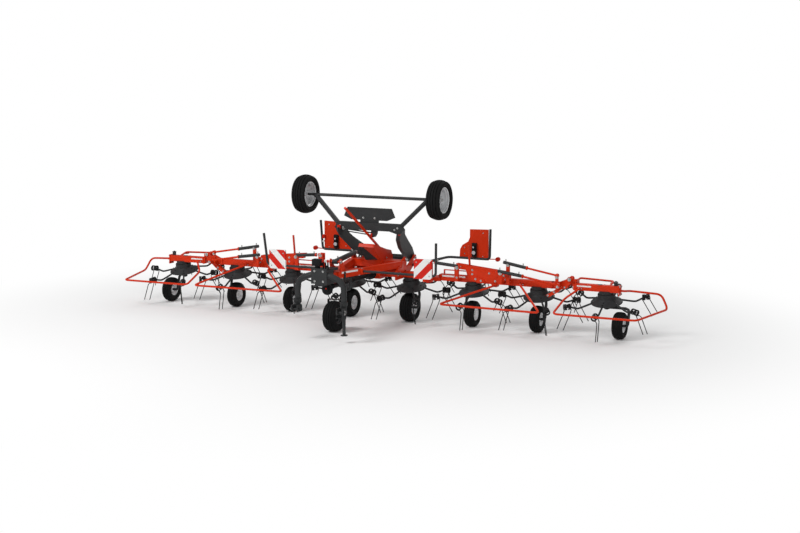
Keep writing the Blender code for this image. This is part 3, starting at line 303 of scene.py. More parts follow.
def maths(tree, operation, *values):
    """The socket that holds an operation's result. Each value is a number or another node's socket."""
    node = tree.nodes.new("ShaderNodeMath")
    node.operation = operation
    for socket, value in zip(node.inputs, values):
        if hasattr(value, "links"):
            link(tree, value, socket)
        else:
            socket.default_value = value
    return node.outputs[0]


def striped(tree, place, paint, sign):
    """Red and white bands across a warning board, falling towards the machine's middle."""
    parts = tree.nodes.new("ShaderNodeSeparateXYZ")
    link(tree, place, parts.inputs[0])
    across = maths(tree, "MULTIPLY", parts.outputs["X"], -sign)
    across = maths(tree, "ADD", across, STRIPE_CENTRE[0])
    up = maths(tree, "SUBTRACT", parts.outputs["Z"], STRIPE_CENTRE[1])
    way = maths(tree, "ADD", across, up)
    bands = maths(tree, "DIVIDE", way, STRIPE_PITCH * 2 ** 0.5)
    share = maths(tree, "FRACT", maths(tree, "ADD", bands, STRIPE_SHIFT))
    red = maths(tree, "GREATER_THAN", share, 0.5)
    tint = tree.nodes.new("ShaderNodeMix")
    tint.data_type = "RGBA"
    link(tree, red, tint.inputs["Factor"])
    link(tree, paint, tint.inputs["A"])
    tint.inputs["B"].default_value = (*STRIPE_RED, 1)
    return tint.outputs["Result"]


def softened(part, edges, width, clamped=True):
    """Rounds these edges of a part."""
    bmesh.ops.bevel(part, geom=edges, offset=width, segments=BEVEL_SEGMENTS, affect="EDGES",
                    profile=BEVEL_PROFILE, clamp_overlap=clamped)


class Shape:
    """Closed bodies gathered into one mesh, in the machine's frame."""

    def __init__(self, place=None):
        self.mesh = bmesh.new()
        self.place = place or Matrix.Identity(4)

    def add(self, part, place=None):
        """Takes another bmesh in, moved by a matrix."""
        bmesh.ops.recalc_face_normals(part, faces=part.faces)
        held = bpy.data.meshes.new("held")
        part.to_mesh(held)
        part.free()
        moved = self.place @ (place or Matrix.Identity(4))
        held.transform(moved)
        if moved.determinant() < 0:
            held.flip_normals()
        self.mesh.from_mesh(held)
        bpy.data.meshes.remove(held)
        return self

    def box(self, first, second, place=None, bevel=BEVEL_WIDTH):
        low = Vector(min(pair) for pair in zip(first, second))
        high = Vector(max(pair) for pair in zip(first, second))
        part = bmesh.new()
        bmesh.ops.create_cube(part, size=1)
        size = Matrix.Translation((low + high) / 2) @ Matrix.Diagonal((*(high - low), 1))
        bmesh.ops.transform(part, matrix=size, verts=part.verts)
        softened(part, part.edges[:], bevel)
        return self.add(part, place)

    def rod(self, start, end, radius, sides=FINE, place=None, bevel=ROD_BEVEL):
        start, end = Vector(start), Vector(end)
        span = end - start
        part = bmesh.new()
        bmesh.ops.create_cone(part, cap_ends=True, segments=sides, radius1=radius, radius2=radius,
                              depth=span.length)
        rims = [edge for edge in part.edges if any(len(face.verts) > 4 for face in edge.link_faces)]
        if sides > HEXAGON and bevel:
            softened(part, rims, min(bevel, radius * ROD_BEVEL_SHARE), clamped=False)
        turn = span.to_track_quat("Z", "Y").to_matrix().to_4x4()
        bmesh.ops.transform(part, matrix=Matrix.Translation((start + end) / 2) @ turn, verts=part.verts)
        return self.add(part, place)

    def tube(self, points, radius, sides=MEDIUM, place=None, bend=0.0, steps=ARC_STEPS):
        """A bent round tube through the points, its corners rounded."""
        path = rounded(points, bend, steps) if bend else [Vector(point) for point in points]
        part = bmesh.new()
        ways = [(after - before).normalized() for before, after in zip(path, path[1:])]
        ways = [ways[0]] + [(a + b).normalized() for a, b in zip(ways, ways[1:])] + [ways[-1]]
        side = ways[0].orthogonal().normalized()
        rings = []
        for spot, way in zip(path, ways):
            side = (side - way * side.dot(way)).normalized()
            up = way.cross(side)
            rings.append([part.verts.new(spot + (side * cos(turn) + up * sin(turn)) * radius)
                          for turn in (2 * pi * step / sides for step in range(sides))])
        for first, second in zip(rings, rings[1:]):
            for i in range(sides):
                j = (i + 1) % sides
                part.faces.new((first[i], first[j], second[j], second[i]))
        part.faces.new(rings[0][::-1])
        part.faces.new(rings[-1])
        return self.add(part, place)

    def swept(self, sections, place=None):
        """A closed ring round Z through sections of (radius, height) points, an equal turn apart."""
        part = bmesh.new()
        rings = []
        for step, section in enumerate(sections):
            turn = 2 * pi * step / len(sections)
            rings.append([part.verts.new((radius * cos(turn), radius * sin(turn), height))
                          for radius, height in section])
        for first, second in zip(rings, rings[1:] + rings[:1]):
            for k in range(len(first)):
                m = (k + 1) % len(first)
                part.faces.new((first[k], second[k], second[m], first[m]))
        bmesh.ops.remove_doubles(part, verts=part.verts, dist=WELD)
        return self.add(part, place)

    def turned(self, profile, steps=RIM_STEPS, place=None):
        """A solid of revolution about Z from (radius, height) points."""
        return self.swept([profile] * steps, place)

    def plate(self, outline, first, second, plane, bevel):
        """A plate from an outline: in YZ between two distances in X, or in XY between two in Z."""
        part = bmesh.new()
        make = {"YZ": lambda a, b, c: (c, a, b), "XY": lambda a, b, c: (a, b, c)}[plane]
        face = part.faces.new([part.verts.new(make(a, b, first)) for a, b in outline])
        moved = bmesh.ops.extrude_face_region(part, geom=[face])["geom"]
        shift = Vector(make(0, 0, second - first))
        bmesh.ops.translate(part, vec=shift, verts=[v for v in moved if isinstance(v, bmesh.types.BMVert)])
        bmesh.ops.recalc_face_normals(part, faces=part.faces)
        softened(part, part.edges[:], min(bevel, abs(second - first) * PLATE_BEVEL_SHARE))
        return self.add(part)

    def bolt(self, spot, way, size):
        """A hexagon head on its washer, standing on a face, with the end of its shank."""
        spot, way = Vector(spot), Vector(way).normalized()
        for low, high, width, sides in BOLT_PARTS:
            self.rod(spot + way * size * low, spot + way * size * high, size * width, sides, bevel=0)
        return self

    def piece(self, name, body, finish, replaces=()):
        """The finished piece, riding on a body and painted, in place of CAD nodes."""
        mesh = bpy.data.meshes.new(name)
        self.mesh.to_mesh(mesh)
        self.mesh.free()
        mesh.transform(ROOT)
        finished(mesh, name, body, [finish], replaces)


def finished(mesh, name, body, finishes, replaces=()):
    made = bpy.data.objects.new(name, mesh)
    bpy.context.scene.collection.objects.link(made)
    for finish in finishes:
        mesh.materials.append(material(finish))
    mesh.shade_smooth()
    mesh.set_sharp_from_angle(angle=CREASE)
    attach(made, body)
    if replaces:
        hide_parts(*replaces)
    return made


def rounded(points, bend, steps):
    """The points with each inner corner replaced by an arc that starts this far before it."""
    points = [Vector(point) for point in points]
    route = [points[0]]
    for before, corner, after in zip(points, points[1:], points[2:]):
        reach = min(bend, *((other - corner).length * CORNER_SHARE for other in (before, after)))
        start = corner + (before - corner).normalized() * reach
        end = corner + (after - corner).normalized() * reach
        for step in range(steps + 1):
            t = step / steps
            route.append(start * (1 - t) ** 2 + corner * 2 * t * (1 - t) + end * t ** 2)
    return route + [points[-1]]


def within(corners, zone):
    """Whether a face is in a zone: all of it in a bar's (start, end, radius), its middle in a block."""
    if len(zone) == 2:
        middle = sum(corners, Vector()) / len(corners)
        return all(low <= part <= high for low, part, high in zip(zone[0], middle, zone[1]))
    start, end, radius = Vector(zone[0]), Vector(zone[1]), zone[2]
    span = end - start
    shares = [min(max((spot - start).dot(span) / span.length_squared, 0), 1) for spot in corners]
    return all((start + span * share - spot).length <= radius for share, spot in zip(shares, corners))


def dressed(node, finish, zones):
    """A CAD node's own shape, its flat faces whole and its sharp edges rounded, painted by zone.

    zones lists (finish, zone) in the machine's frame for the right side.
    """
    shape = bmesh.new()
    shape.from_mesh(frame["nodes"][node].data)
    bmesh.ops.remove_doubles(shape, verts=shape.verts, dist=WELD)
    bmesh.ops.dissolve_limit(shape, angle_limit=FLAT, verts=shape.verts, edges=shape.edges)
    finishes = [finish] + sorted({name for name, _ in zones})
    back = ROOT.inverted()
    for face in shape.faces:
        face.material_index = 0
        corners = [back @ corner.co for corner in face.verts]
        side = 1 if sum(corner.x for corner in corners) > 0 else -1
        corners = [Vector((corner.x * side, corner.y, corner.z)) for corner in corners]
        for name, zone in zones:
            if within(corners, zone):
                face.material_index = finishes.index(name)
    mesh = bpy.data.meshes.new("dressed_" + node)
    shape.to_mesh(mesh)
    shape.free()
    made = finished(mesh, "dressed_" + node, BODY_OF[node], finishes, [node])
    edge = made.modifiers.new("edges", "BEVEL")
    edge.width = BEVEL_WIDTH
    edge.segments = BEVEL_SEGMENTS
    edge.limit_method = "ANGLE"
    edge.angle_limit = BEVEL_ANGLE
    edge.harden_normals = True


def rotor_x(index):
    return ROTOR_PITCH * (index - 0.5)


def off_corner(radius, height, steps):
    """The (radius, height) points that round a corner of the dish."""
    return [(radius + out, height + up) for out, up in steps]


def dish_profile():
    """The dish's section: over its hub and lip, and back along its hollow side."""
    under = HUB_TOP - DISH_WALL
    return [
        (BORE_RADIUS, HUB_TOP),
        *off_corner(HUB_RADIUS, HUB_TOP, HUB_CREST),
        *off_corner(HUB_RADIUS, HUB_FOOT, HUB_FILLET),
        *off_corner(DISH_RADIUS, DISH_LIP, LIP_CREST),
        *off_corner(DISH_RADIUS, DISH_LIP - DISH_WALL, LIP_HEM),
        *off_corner(HUB_RADIUS, HUB_FOOT, UNDER_FILLET),
        (HUB_RADIUS - DISH_WALL, HUB_FOOT - DISH_WALL), (HUB_RADIUS - DISH_WALL, under),
        (BORE_RADIUS, under),
    ]


def helix(side, turn):
    """One coil of a twin tine, wound round the arm's end from its middle, and on into the bent prong."""
    points = []
    total = COIL_TURNS * COIL_STEPS
    for step in range(total + 1):
        angle = 2 * pi * step / COIL_STEPS
        along = COIL_START + (COIL_END - COIL_START) * step / total
        points.append(Vector((COIL_RING + side * along, -turn * COIL_RADIUS * sin(angle),
                              COIL_HEIGHT - COIL_RADIUS * cos(angle))))
    end = points[-1]
    tip = Vector((TINE_RING + side * TINE_SPREAD, -turn * TINE_TRAIL, side * TINE_STEP - TINE_REACH))
    bend = Vector((TINE_LEAD, tip.y - end.y, -TINE_BEND))
    prong = [end, end + Vector((0, bend.y / 2, 0)), end + bend, tip]
    return points + rounded(prong, TINE_BEND, TINE_ARC_STEPS)[1:]


def rotor_shapes(turn):
    """The dark dish with its arms, and the coil tines with their clamps, about the rotor's axis."""
    dish, tines = Shape(), Shape()
    dish.turned(dish_profile())
    seat = Matrix.Translation(FLANGE_START) @ Matrix.Rotation(FLANGE_TILT, 4, "Y")
    route = [(radius, 0, height) for radius, height in ARM_ROUTE]
    for arm in range(ARMS):
        spin = Matrix.Rotation(2 * pi * arm / ARMS, 4, "Z")
        dish.tube(route, ARM_RADIUS, MEDIUM, spin)
        dish.box(*FLANGE_BOX, spin @ seat)
        for radius in DISH_BOLT_RINGS:
            height = HUB_FOOT - (radius - HUB_RADIUS) * DISH_FALL
            ends = [spin @ Vector((radius, 0, height + up)) for up in (-DISH_BOLT_SUNK, DISH_BOLT_PROUD)]
            tines.rod(*ends, DISH_BOLT_RADIUS, HEXAGON, bevel=0)
        tines.box((COIL_RING - CLAMP_HALF, turn * COIL_RADIUS, COIL_HEIGHT - CLAMP_HALF),
                  (COIL_RING + CLAMP_HALF, -turn * CLAMP_REACH, COIL_HEIGHT + CLAMP_REACH), spin)
        ends = [spin @ Vector((COIL_RING, 0, COIL_HEIGHT + up)) for up in (0, CLAMP_BOLT_REACH)]
        tines.rod(*ends, CLAMP_BOLT_RADIUS, HEXAGON, bevel=0)
        for side in (-1, 1):
            tines.tube(helix(side, turn), COIL_WIRE, WIRE_SIDES, spin)
    return dish, tines


def wheel_kind(node):
    return WHEEL_KINDS.get(node.split("_")[1], WHEEL_KINDS["working"])


def wheel_frame(node):
    """A tyre's or rim's radius, its half width, and the matrix that lays it on its axle."""
    low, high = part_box(node)
    middle = ROOT.inverted() @ ((low + high) / 2)
    across = Matrix.Translation(middle) @ Matrix.Rotation(pi / 2, 4, "Y")
    return (high.z - low.z) / 2, (high.x - low.x) / 2, across


def tyre(node):
    """A tyre with ribs round it, and grooves across its shoulders where it has them."""
    outer, half, across = wheel_frame(node)
    kind = wheel_kind(node)
    seat = outer * kind.seat_share
    wall = outer - seat
    fall = wall * kind.crown_share
    profile = [(seat + wall * up, share) for up, share in TYRE_SIDE]
    profile.append((outer - SHOULDER_DROP - fall * SHOULDER_SHARE ** 2, SHOULDER_SHARE))
    profile += [(outer - deep * GROOVE - fall * share ** 2, share) for share, deep in TREAD]
    profile += [(radius, -share) for radius, share in profile[::-1]]
    shoulders = set()
    if kind.cross_grooves:
        shoulders = SHOULDER_POINTS | {len(profile) - 1 - k for k in SHOULDER_POINTS}
    profile += [(seat - BEAD_DEPTH, -BEAD_SHARE), (seat - BEAD_DEPTH, BEAD_SHARE)]
    sections = []
    for step in range(WHEEL_STEPS):
        cut = 0 if step % CROSS_GROOVE_STEPS else GROOVE * CROSS_GROOVE_SHARE
        sections.append([(radius - (cut if k in shoulders else 0), share * half)
                         for k, (radius, share) in enumerate(profile)])
    Shape().swept(sections, across).piece("tread_" + node, BODY_OF[node], "rubber", [node])


def band_points(seat, half, steps):
    """A rim's band as (radius, along) points."""
    return [(seat - drop, share * half - (back if share > 0 else -back)) for drop, share, back in steps]


def rim(node):
    """A pressed rim: its band and deep steps, the dished disc with its nuts, and the hub's cap."""
    seat, half, across = wheel_frame(node)
    kind = wheel_kind(node)
    profile = band_points(seat, half, RIM_FRONT)
    profile += [(radius, share * half) for radius, share in RIM_HUB]
    profile += band_points(seat, half, RIM_BACK)
    pressed = Shape().turned(profile, place=across)
    pressed.piece("pressed_" + node, BODY_OF[node], kind.rim_finish, [node])
    # Where a wheel has them, white lips over the silver rim: a painted highlight along the rim's edge
    if kind.bright_lips:
        lips = Shape(across)
        for face in (-1, 1):
            lips.turned([(seat + out, face * (half + along)) for out, along in LIP])
        lips.piece("lips_" + node, BODY_OF[node], "rim_paint")
    nuts = Shape(across)
    for nut in range(NUTS):
        spin = Matrix.Rotation(2 * pi * nut / NUTS, 4, "Z")
        for face in (-1, 1):
            nuts.bolt(spin @ Vector((NUT_RING, 0, face * NUT_SHARE * half)), (0, 0, face), NUT_SIZE)
    cap = CAP_SIDES[node.removeprefix("rim_")] * half
    nuts.rod((0, 0, cap * CAP_START_SHARE), (0, 0, cap * CAP_END_SHARE), CAP_RADIUS)
    nuts.piece("nuts_" + node, BODY_OF[node], "zinc")


def wheels():
    for node in frame["nodes"]:
        if node.startswith("tyre"):
            tyre(node)
        if node.startswith("rim"):
            rim(node)


def rotors():
    """Both hands of rotor are made once, and each rotor takes its copy of one."""
    meshes = {}
    for turn in (-1, 1):
        for kind, shape in zip(ROTOR_FINISHES, rotor_shapes(turn)):
            meshes[turn, kind] = bpy.data.meshes.new(kind)
            shape.mesh.to_mesh(meshes[turn, kind])
            shape.mesh.free()
    for side, sign in SIDES.items():
        for index in range(1, ROTORS_A_SIDE + 1):
            odd = (index if sign > 0 else 1 - index) % 2 == 1
            axis = Matrix.Translation((sign * rotor_x(index), ROTOR_Y, ROTOR_Z))
            tilt = Matrix.Rotation(ROTOR_TILT, 4, "X")
            place = ROOT @ axis @ tilt @ Matrix.Rotation(0 if odd else pi / ARMS, 4, "Z")
            node = f"rotor_{side}_{index}"
            for kind, finish in ROTOR_FINISHES.items():
                mesh = meshes[1 if odd else -1, kind].copy()
                mesh.transform(place)
                replaces = [node] if kind == "dish" else ()
                finished(mesh, f"{kind}_{side}_{index}", BODY_OF[node], [finish], replaces)


# Zones of other paint on CAD nodes: a bar's start, end and radius, or a block's two corners
GEARBOX_AXIS = ((0.028, 0.66), (0.016, 0.722))
GEARBOX_SEEN = 0.111
SLEEVE_SEEN = 0.029
SHAFT_SEEN = 0.016
SLEEVES = [
    ((2.16, -0.125, 1.065), (2.53, -0.125, 1.0)), ((2.10, -0.2, 0.935), (2.49, -0.2, 0.88)),
    ((1.06, -0.18, 0.995), (1.42, -0.18, 0.965)),
]
LIFT_SHAFT = ((0.95, -0.18, 0.995), (1.07, -0.18, 0.995))


def gearboxes(*indexes):
    """The dark gearboxes of these rotors, under a beam."""
    return [("dark_paint", (*((rotor_x(index), *spot) for spot in GEARBOX_AXIS), GEARBOX_SEEN))
            for index in indexes]


NODE_ZONES = {
    "centre_beam": gearboxes(1),
    "wing_beam": [
        *gearboxes(2, 3),
        *(("dark_paint", (*sleeve, SLEEVE_SEEN)) for sleeve in SLEEVES),
        ("chrome", (*LIFT_SHAFT, SHAFT_SEEN)),
    ],
    "outer_beam": [*gearboxes(4), ("dark_paint", ((3.9, 0, 0.79), (3.9, 0, 0.87), 0.032))],
    "chassis_cylinder": [("chrome", ((0.305, -0.27, 1.09), (0.325, -0.19, 1.087), 0.02))],
    "board_front": [("stripes", ((1.09, -1.11, 0.87), (1.4, -1.07, 1.19)))],
    "board_rear": [
        ("dark_paint", ((0.44, 0.2, 0.8), (0.925, 0.97, 1.0))),
        ("dark_paint", ((0.9, 0.9, 0.9), (1.56, 0.934, 1.45))),
        ("red_cap", ((1.6, 0.85, 0.9), (1.7, 1.0, 1.0))),
    ],
}
PAINT_OF = {
    "centre_beam": "red_paint", "wing_beam": "red_paint", "outer_beam": "red_paint",
    "drawbar": "red_paint", "chassis_bracket": "red_paint",
    "chassis_frame": "dark_paint", "sign_panel": "dark_paint", "chassis_cylinder": "dark_paint",
    "headstock": "dark_paint", "jack": "dark_paint", "leg": "dark_paint", "support_wheel_bar": "dark_paint",
    "pto_shaft": "plastic", "board_front": "dark_paint", "board_rear": "red_paint",
}


def structure():
    """Every other CAD node in its own shape and paint."""
    for node in frame["nodes"]:
        for start, finish in PAINT_OF.items():
            if not node.startswith(start):
                continue
            side = "left" if "left" in node else "right"
            zones = [("stripes_" + side if name == "stripes" else name, zone)
                     for name, zone in NODE_ZONES.get(start, ())]
            dressed(node, finish, zones)


# The ways that bolts face, and their sizes
FRONT, UP, OUT = (0, -1, 0), (0, 0, 1), (1, 0, 0)
BOLT, SMALL_BOLT, PIN_HEAD = 0.011, 0.007, 0.019

# The frame of the drawbar's side arm, and the (radius, height) section of the collars on the arch's legs
ARM_TURN = -0.2746
ARM_WAY = Matrix.Translation((0.03, -1.56, 0.925)) @ Matrix.Rotation(ARM_TURN, 4, "Z")
COLLAR = [(0.057, 0.001), (0.057, 0.049), (0.055, 0.05), (0.0445, 0.05), (0.0445, 0), (0.055, 0)]

# Sizes that several fittings share
EYE_RADIUS = 0.03
FOLD_ROD_RADIUS = 0.0155
FILM_BEVEL = 0.0005
PORT_RADIUS = 0.009
PORT_REACH = 0.045

# The hose ports on the cylinders: each cylinder's y, and its ports' x and z
PORTS = [
    (-0.125, [(2.2, 1.07), (2.48, 1.02)]), (-0.2, [(2.13, 0.945), (2.44, 0.9)]),
    (-0.18, [(1.09, 1.005), (1.36, 0.98)]),
]

# The drive shaft's guard: its height, the width of its ribs, and each rib's y and radius
SHAFT_Z = 0.765
RIB_WIDTH = 0.012
SHAFT_RIBS = [
    (-0.42, 0.068), (-0.385, 0.077), (-0.35, 0.078), (-0.315, 0.079), (-1.72, 0.041), (-1.68, 0.041),
    (-1.64, 0.041), (-1.0, 0.041), (-0.96, 0.041),
]

# The couplers on the headstock: their x, and how far each and its cap lean sideways
RED_COUPLERS = (-0.03, 0.05)
WHITE_COUPLER = 0.01
COUPLER_LEAN = 0.01
CAP_LEAN = 0.014

# The linch pins: ring radius, wire, pin radius, and how far the pin stands off and reaches up and down
PIN_RING_RADIUS = 0.022
PIN_RING_WIRE = 0.0025
PIN_RING_STEPS = 14
LINCH_RADIUS = 0.0045
LINCH_OFFSET = 0.008
LINCH_UP = 0.032
LINCH_DOWN = 0.036


def bolts(way, size, *spots):
    return [("bolt", spot, way, size) for spot in spots]


def pin_ring(x, y, z):
    """A linch pin through a link pin's end, and its spring ring."""
    turns = [2 * pi * step / PIN_RING_STEPS for step in range(PIN_RING_STEPS)]
    ring = [(x, y + PIN_RING_RADIUS * sin(turn), z + PIN_RING_RADIUS * cos(turn)) for turn in turns]
    beside = x - LINCH_OFFSET
    return [("rod", (beside, y, z + LINCH_UP), (beside, y, z - LINCH_DOWN), LINCH_RADIUS, COARSE),
            ("tube", ring, PIN_RING_WIRE, COARSE)]


def coupler(x):
    return ("tube", [(x, -1.85, 1.05), (x, -1.86, 1.13), (x + COUPLER_LEAN, -1.88, 1.17)], 0.012)


def coupler_cap(x):
    return ("rod", (x + COUPLER_LEAN, -1.88, 1.165), (x + CAP_LEAN, -1.89, 1.2), 0.016)


# Fittings on both sides: name, the node they ride with, finish, shapes for the right side
PAIRED = [
    ("wing_bolts", "wing_beam", "zinc",
     bolts(FRONT, BOLT, (1.62, -0.058, 0.9), (1.62, -0.058, 0.835), (1.9, -0.058, 0.865),
           (2.14, -0.058, 0.845), (2.17, -0.058, 0.785), (2.0, -0.058, 0.75), (1.68, -0.074, 0.765),
           (1.77, -0.074, 0.742), (3.06, -0.072, 0.735), (3.12, -0.072, 0.735), (2.87, -0.1, 0.597),
           (2.97, -0.1, 0.655), (3.07, -0.1, 0.745), (1.42, -0.202, 0.79))
     + bolts(FRONT, PIN_HEAD, (3.2, -0.086, 0.86), (2.235, -0.139, 1.03), (2.14, -0.214, 0.9),
             (3.02, -0.139, 0.895), (3.06, -0.214, 0.765), (1.42, -0.202, 0.94))
     + bolts(FRONT, SMALL_BOLT, (2.408, -0.058, 0.73), (2.452, -0.058, 0.73), (1.42, -0.045, 0.94),
             (2.0, -0.045, 0.885))
     + [("rod", (x, y, z), (x, y, z + PORT_REACH), PORT_RADIUS, HEXAGON)
        for y, spots in PORTS for x, z in spots]),
    ("wing_flanges", "wing_beam", "red_paint",
     [("box", (2.395, -0.058, 0.706), (2.465, -0.049, 0.754)),
      ("box", (1.95, -0.055, 0.66), (2.02, -0.044, 0.7)),
      ("rod", (2.53, -0.125, 1.0), (2.548, -0.125, 0.997), EYE_RADIUS),
      ("rod", (2.49, -0.2, 0.88), (2.508, -0.2, 0.877), EYE_RADIUS),
      ("rod", (1.042, -0.18, 0.995), (1.062, -0.18, 0.995), EYE_RADIUS),
      ("box", (2.26, -0.066, 0.71), (2.29, 0.066, 0.79)),
      ("box", (2.9, -0.066, 0.7), (2.93, 0.066, 0.8))]),
    ("wing_strip", "wing_beam", "white_film",
     [("box", (1.11, -0.0515, 0.764), (1.5, -0.049, 0.79), None, FILM_BEVEL)]),
    ("fold_rods", "wing_beam", "red_paint",
     [("rod", (2.53, -0.125, 1.0), (3.02, -0.125, 0.915), FOLD_ROD_RADIUS),
      ("rod", (2.49, -0.2, 0.88), (3.06, -0.2, 0.78), FOLD_ROD_RADIUS),
      ("rod", (3.02, -0.15, 0.915), (3.02, -0.1, 0.915), EYE_RADIUS),
      ("rod", (3.06, -0.225, 0.78), (3.06, -0.175, 0.78), EYE_RADIUS)]),
    ("outer_rod", "outer_beam", "red_paint",
     [("tube", [(3.28, 0.09, 0.83), (3.28, 0.2, 0.85), (3.8, 0.22, 0.83), (3.8, 0.06, 0.793)],
       FOLD_ROD_RADIUS, MEDIUM, None, 0.04)]),
    ("marker_rod", "wing_beam", "red_paint", [("rod", (1.551, 0.017, 0.9), (1.548, -0.04, 1.27), 0.0165)]),
    ("board_tubes", "drawbar", "dark_paint",
     [("tube", [(0.25, -1.06, 0.93), (1.44, -1.06, 0.93), (1.47, -1.12, 1.432)], 0.019, MEDIUM, None, 0.06),
      ("tube", [(0.45, 0.3, 0.86), (0.8, 0.93, 0.93), (1.52, 0.93, 0.93), (1.54, 0.9, 1.422)],
       0.02, MEDIUM, None, 0.06),
      ("box", (1.13, -1.078, 0.905), (1.17, -1.045, 0.955)),
      ("box", (1.33, -1.078, 0.905), (1.37, -1.045, 0.955))]),
    ("outer_bolts", "outer_beam", "zinc",
     bolts(OUT, BOLT, (3.97, -0.045, 0.795), (3.97, 0.045, 0.795), (3.97, -0.045, 0.675),
           (3.97, 0.045, 0.675))
     + bolts(FRONT, SMALL_BOLT, (3.338, -0.058, 0.73), (3.382, -0.058, 0.73))
     + bolts(UP, SMALL_BOLT, (3.6, 0.03, 0.8), (3.72, 0.03, 0.8))),
    ("outer_flanges", "outer_beam", "red_paint",
     [("box", (3.325, -0.058, 0.706), (3.395, -0.049, 0.754)),
      ("box", (3.969, -0.035, 0.695), (3.977, 0.035, 0.765)),
      ("box", (3.28, -0.056, 0.69), (3.3, 0.056, 0.808)), ("box", (3.76, 0.17, 0.8), (3.84, 0.25, 0.812))]),
    ("outer_cap", "outer_beam", "dark_rim",
     [("rod", (3.66, -0.01, 0.799), (3.66, -0.01, 0.807), 0.034),
      ("rod", (3.9, 0, 0.849), (3.9, 0, 0.862), 0.034),
      ("rod", (3.9, 0, 0.862), (3.9, 0, 0.872), 0.014)]),
    ("outer_strip", "outer_beam", "white_film",
     [("box", (3.31, -0.0515, 0.755), (3.53, -0.049, 0.778), None, FILM_BEVEL)]),
    ("post_pins", "drawbar", "zinc",
     bolts(FRONT, PIN_HEAD, (0.95, -0.24, 0.72), (0.95, -0.225, 0.995))
     + bolts(OUT, PIN_HEAD, (0.475, -0.01, 0.985), (0.44, 0.4, 0.96), (0.09, -1.525, 1.125))
     + bolts(OUT, BOLT, (0.455, -0.2, 0.8), (0.455, -0.28, 0.77), (0.13, -0.02, 1.0), (0.13, 0.1, 0.95))
     + bolts(UP, BOLT, (0.17, -1.06, 0.97), (0.21, -1.06, 0.97))
     + bolts(FRONT, BOLT, (0.3, -0.05, 0.75), (0.7, -0.05, 0.75))),
    ("pivot_caps", "drawbar", "red_cap", [("rod", (0.955, -0.25, 0.715), (0.955, -0.272, 0.715), 0.031)]),
    ("board_bolts", "drawbar", "zinc",
     bolts(FRONT, SMALL_BOLT, (1.14, -1.1, 0.93), (1.35, -1.1, 0.93), (1.14, -1.1, 1.13), (1.35, -1.1, 1.13))
     + bolts(FRONT, SMALL_BOLT, (1.08, 0.935, 1.0), (1.08, 0.935, 1.1), (1.4, 0.935, 0.97),
             (1.4, 0.935, 1.35))),
    ("rear_lamp", "drawbar", "plastic",
     [("box", (1.22, 0.895, 0.96), (1.295, 0.937, 1.185)), ("box", (1.235, 0.87, 1.09), (1.28, 0.9, 1.15)),
      ("rod", (1.257, 0.897, 1.03), (1.257, 0.885, 1.03), 0.036)]),
    ("rear_lens", "drawbar", "lamp_lens",
     [("rod", (1.257, 0.886, 1.03), (1.257, 0.878, 1.03), 0.03),
      ("rod", (1.257, 0.871, 1.12), (1.257, 0.866, 1.12), 0.014)]),
    ("rear_ball", "drawbar", "red_cap", [("rod", (1.66, 0.905, 0.94), (1.66, 0.955, 0.94), 0.036)]),
    ("arch_collar", "headstock_frame", "dark_paint",
     [("turned", COLLAR, FINE, Matrix.Translation((0.385, -2.0, 0.56))),
      ("box", (0.355, -2.075, 0.565), (0.415, -2.04, 0.605)),
      ("tube", [(0.385, -2.07, 0.585), (0.385, -2.1, 0.585), (0.385, -2.11, 0.53)], 0.006, COARSE)]),
    ("link_rings", "headstock_frame", "zinc",
     pin_ring(0.452, -2.09, 0.47) + bolts(FRONT, BOLT, (0.07, -2.055, 1.05), (0.07, -2.055, 0.9))),
    ("chassis_bolts", "chassis_frame", "zinc",
     bolts(FRONT, BOLT, (0.45, -0.4, 1.5), (0.5, -0.4, 1.53), (0.1, -0.378, 1.665))),
]

# The round guards on the frame's routes, a little thicker than the frame's
TUBE_RADIUS = 0.0162
TUBE_BEND = 0.08
GUARDS = {
    "guard_outer": [
        (3.36, -0.0503, 0.73), (3.36, -0.12, 0.73), (3.2, -0.3, 0.6), (3.17, -0.745, 0.443),
        (4.42, -0.722, 0.436), (4.64, 0.2, 0.47), (4.53, 0.235, 0.68), (4.06, 0.23, 0.7), (4.04, 0, 0.73),
        (3.9703, 0, 0.73),
    ],
    "guard_inner": [
        (1.985, -0.0453, 0.68), (1.985, -0.14, 0.68), (1.36, -0.77, 0.457), (2.99, -0.82, 0.457),
        (2.43, -0.12, 0.73), (2.43, -0.0503, 0.73),
    ],
}

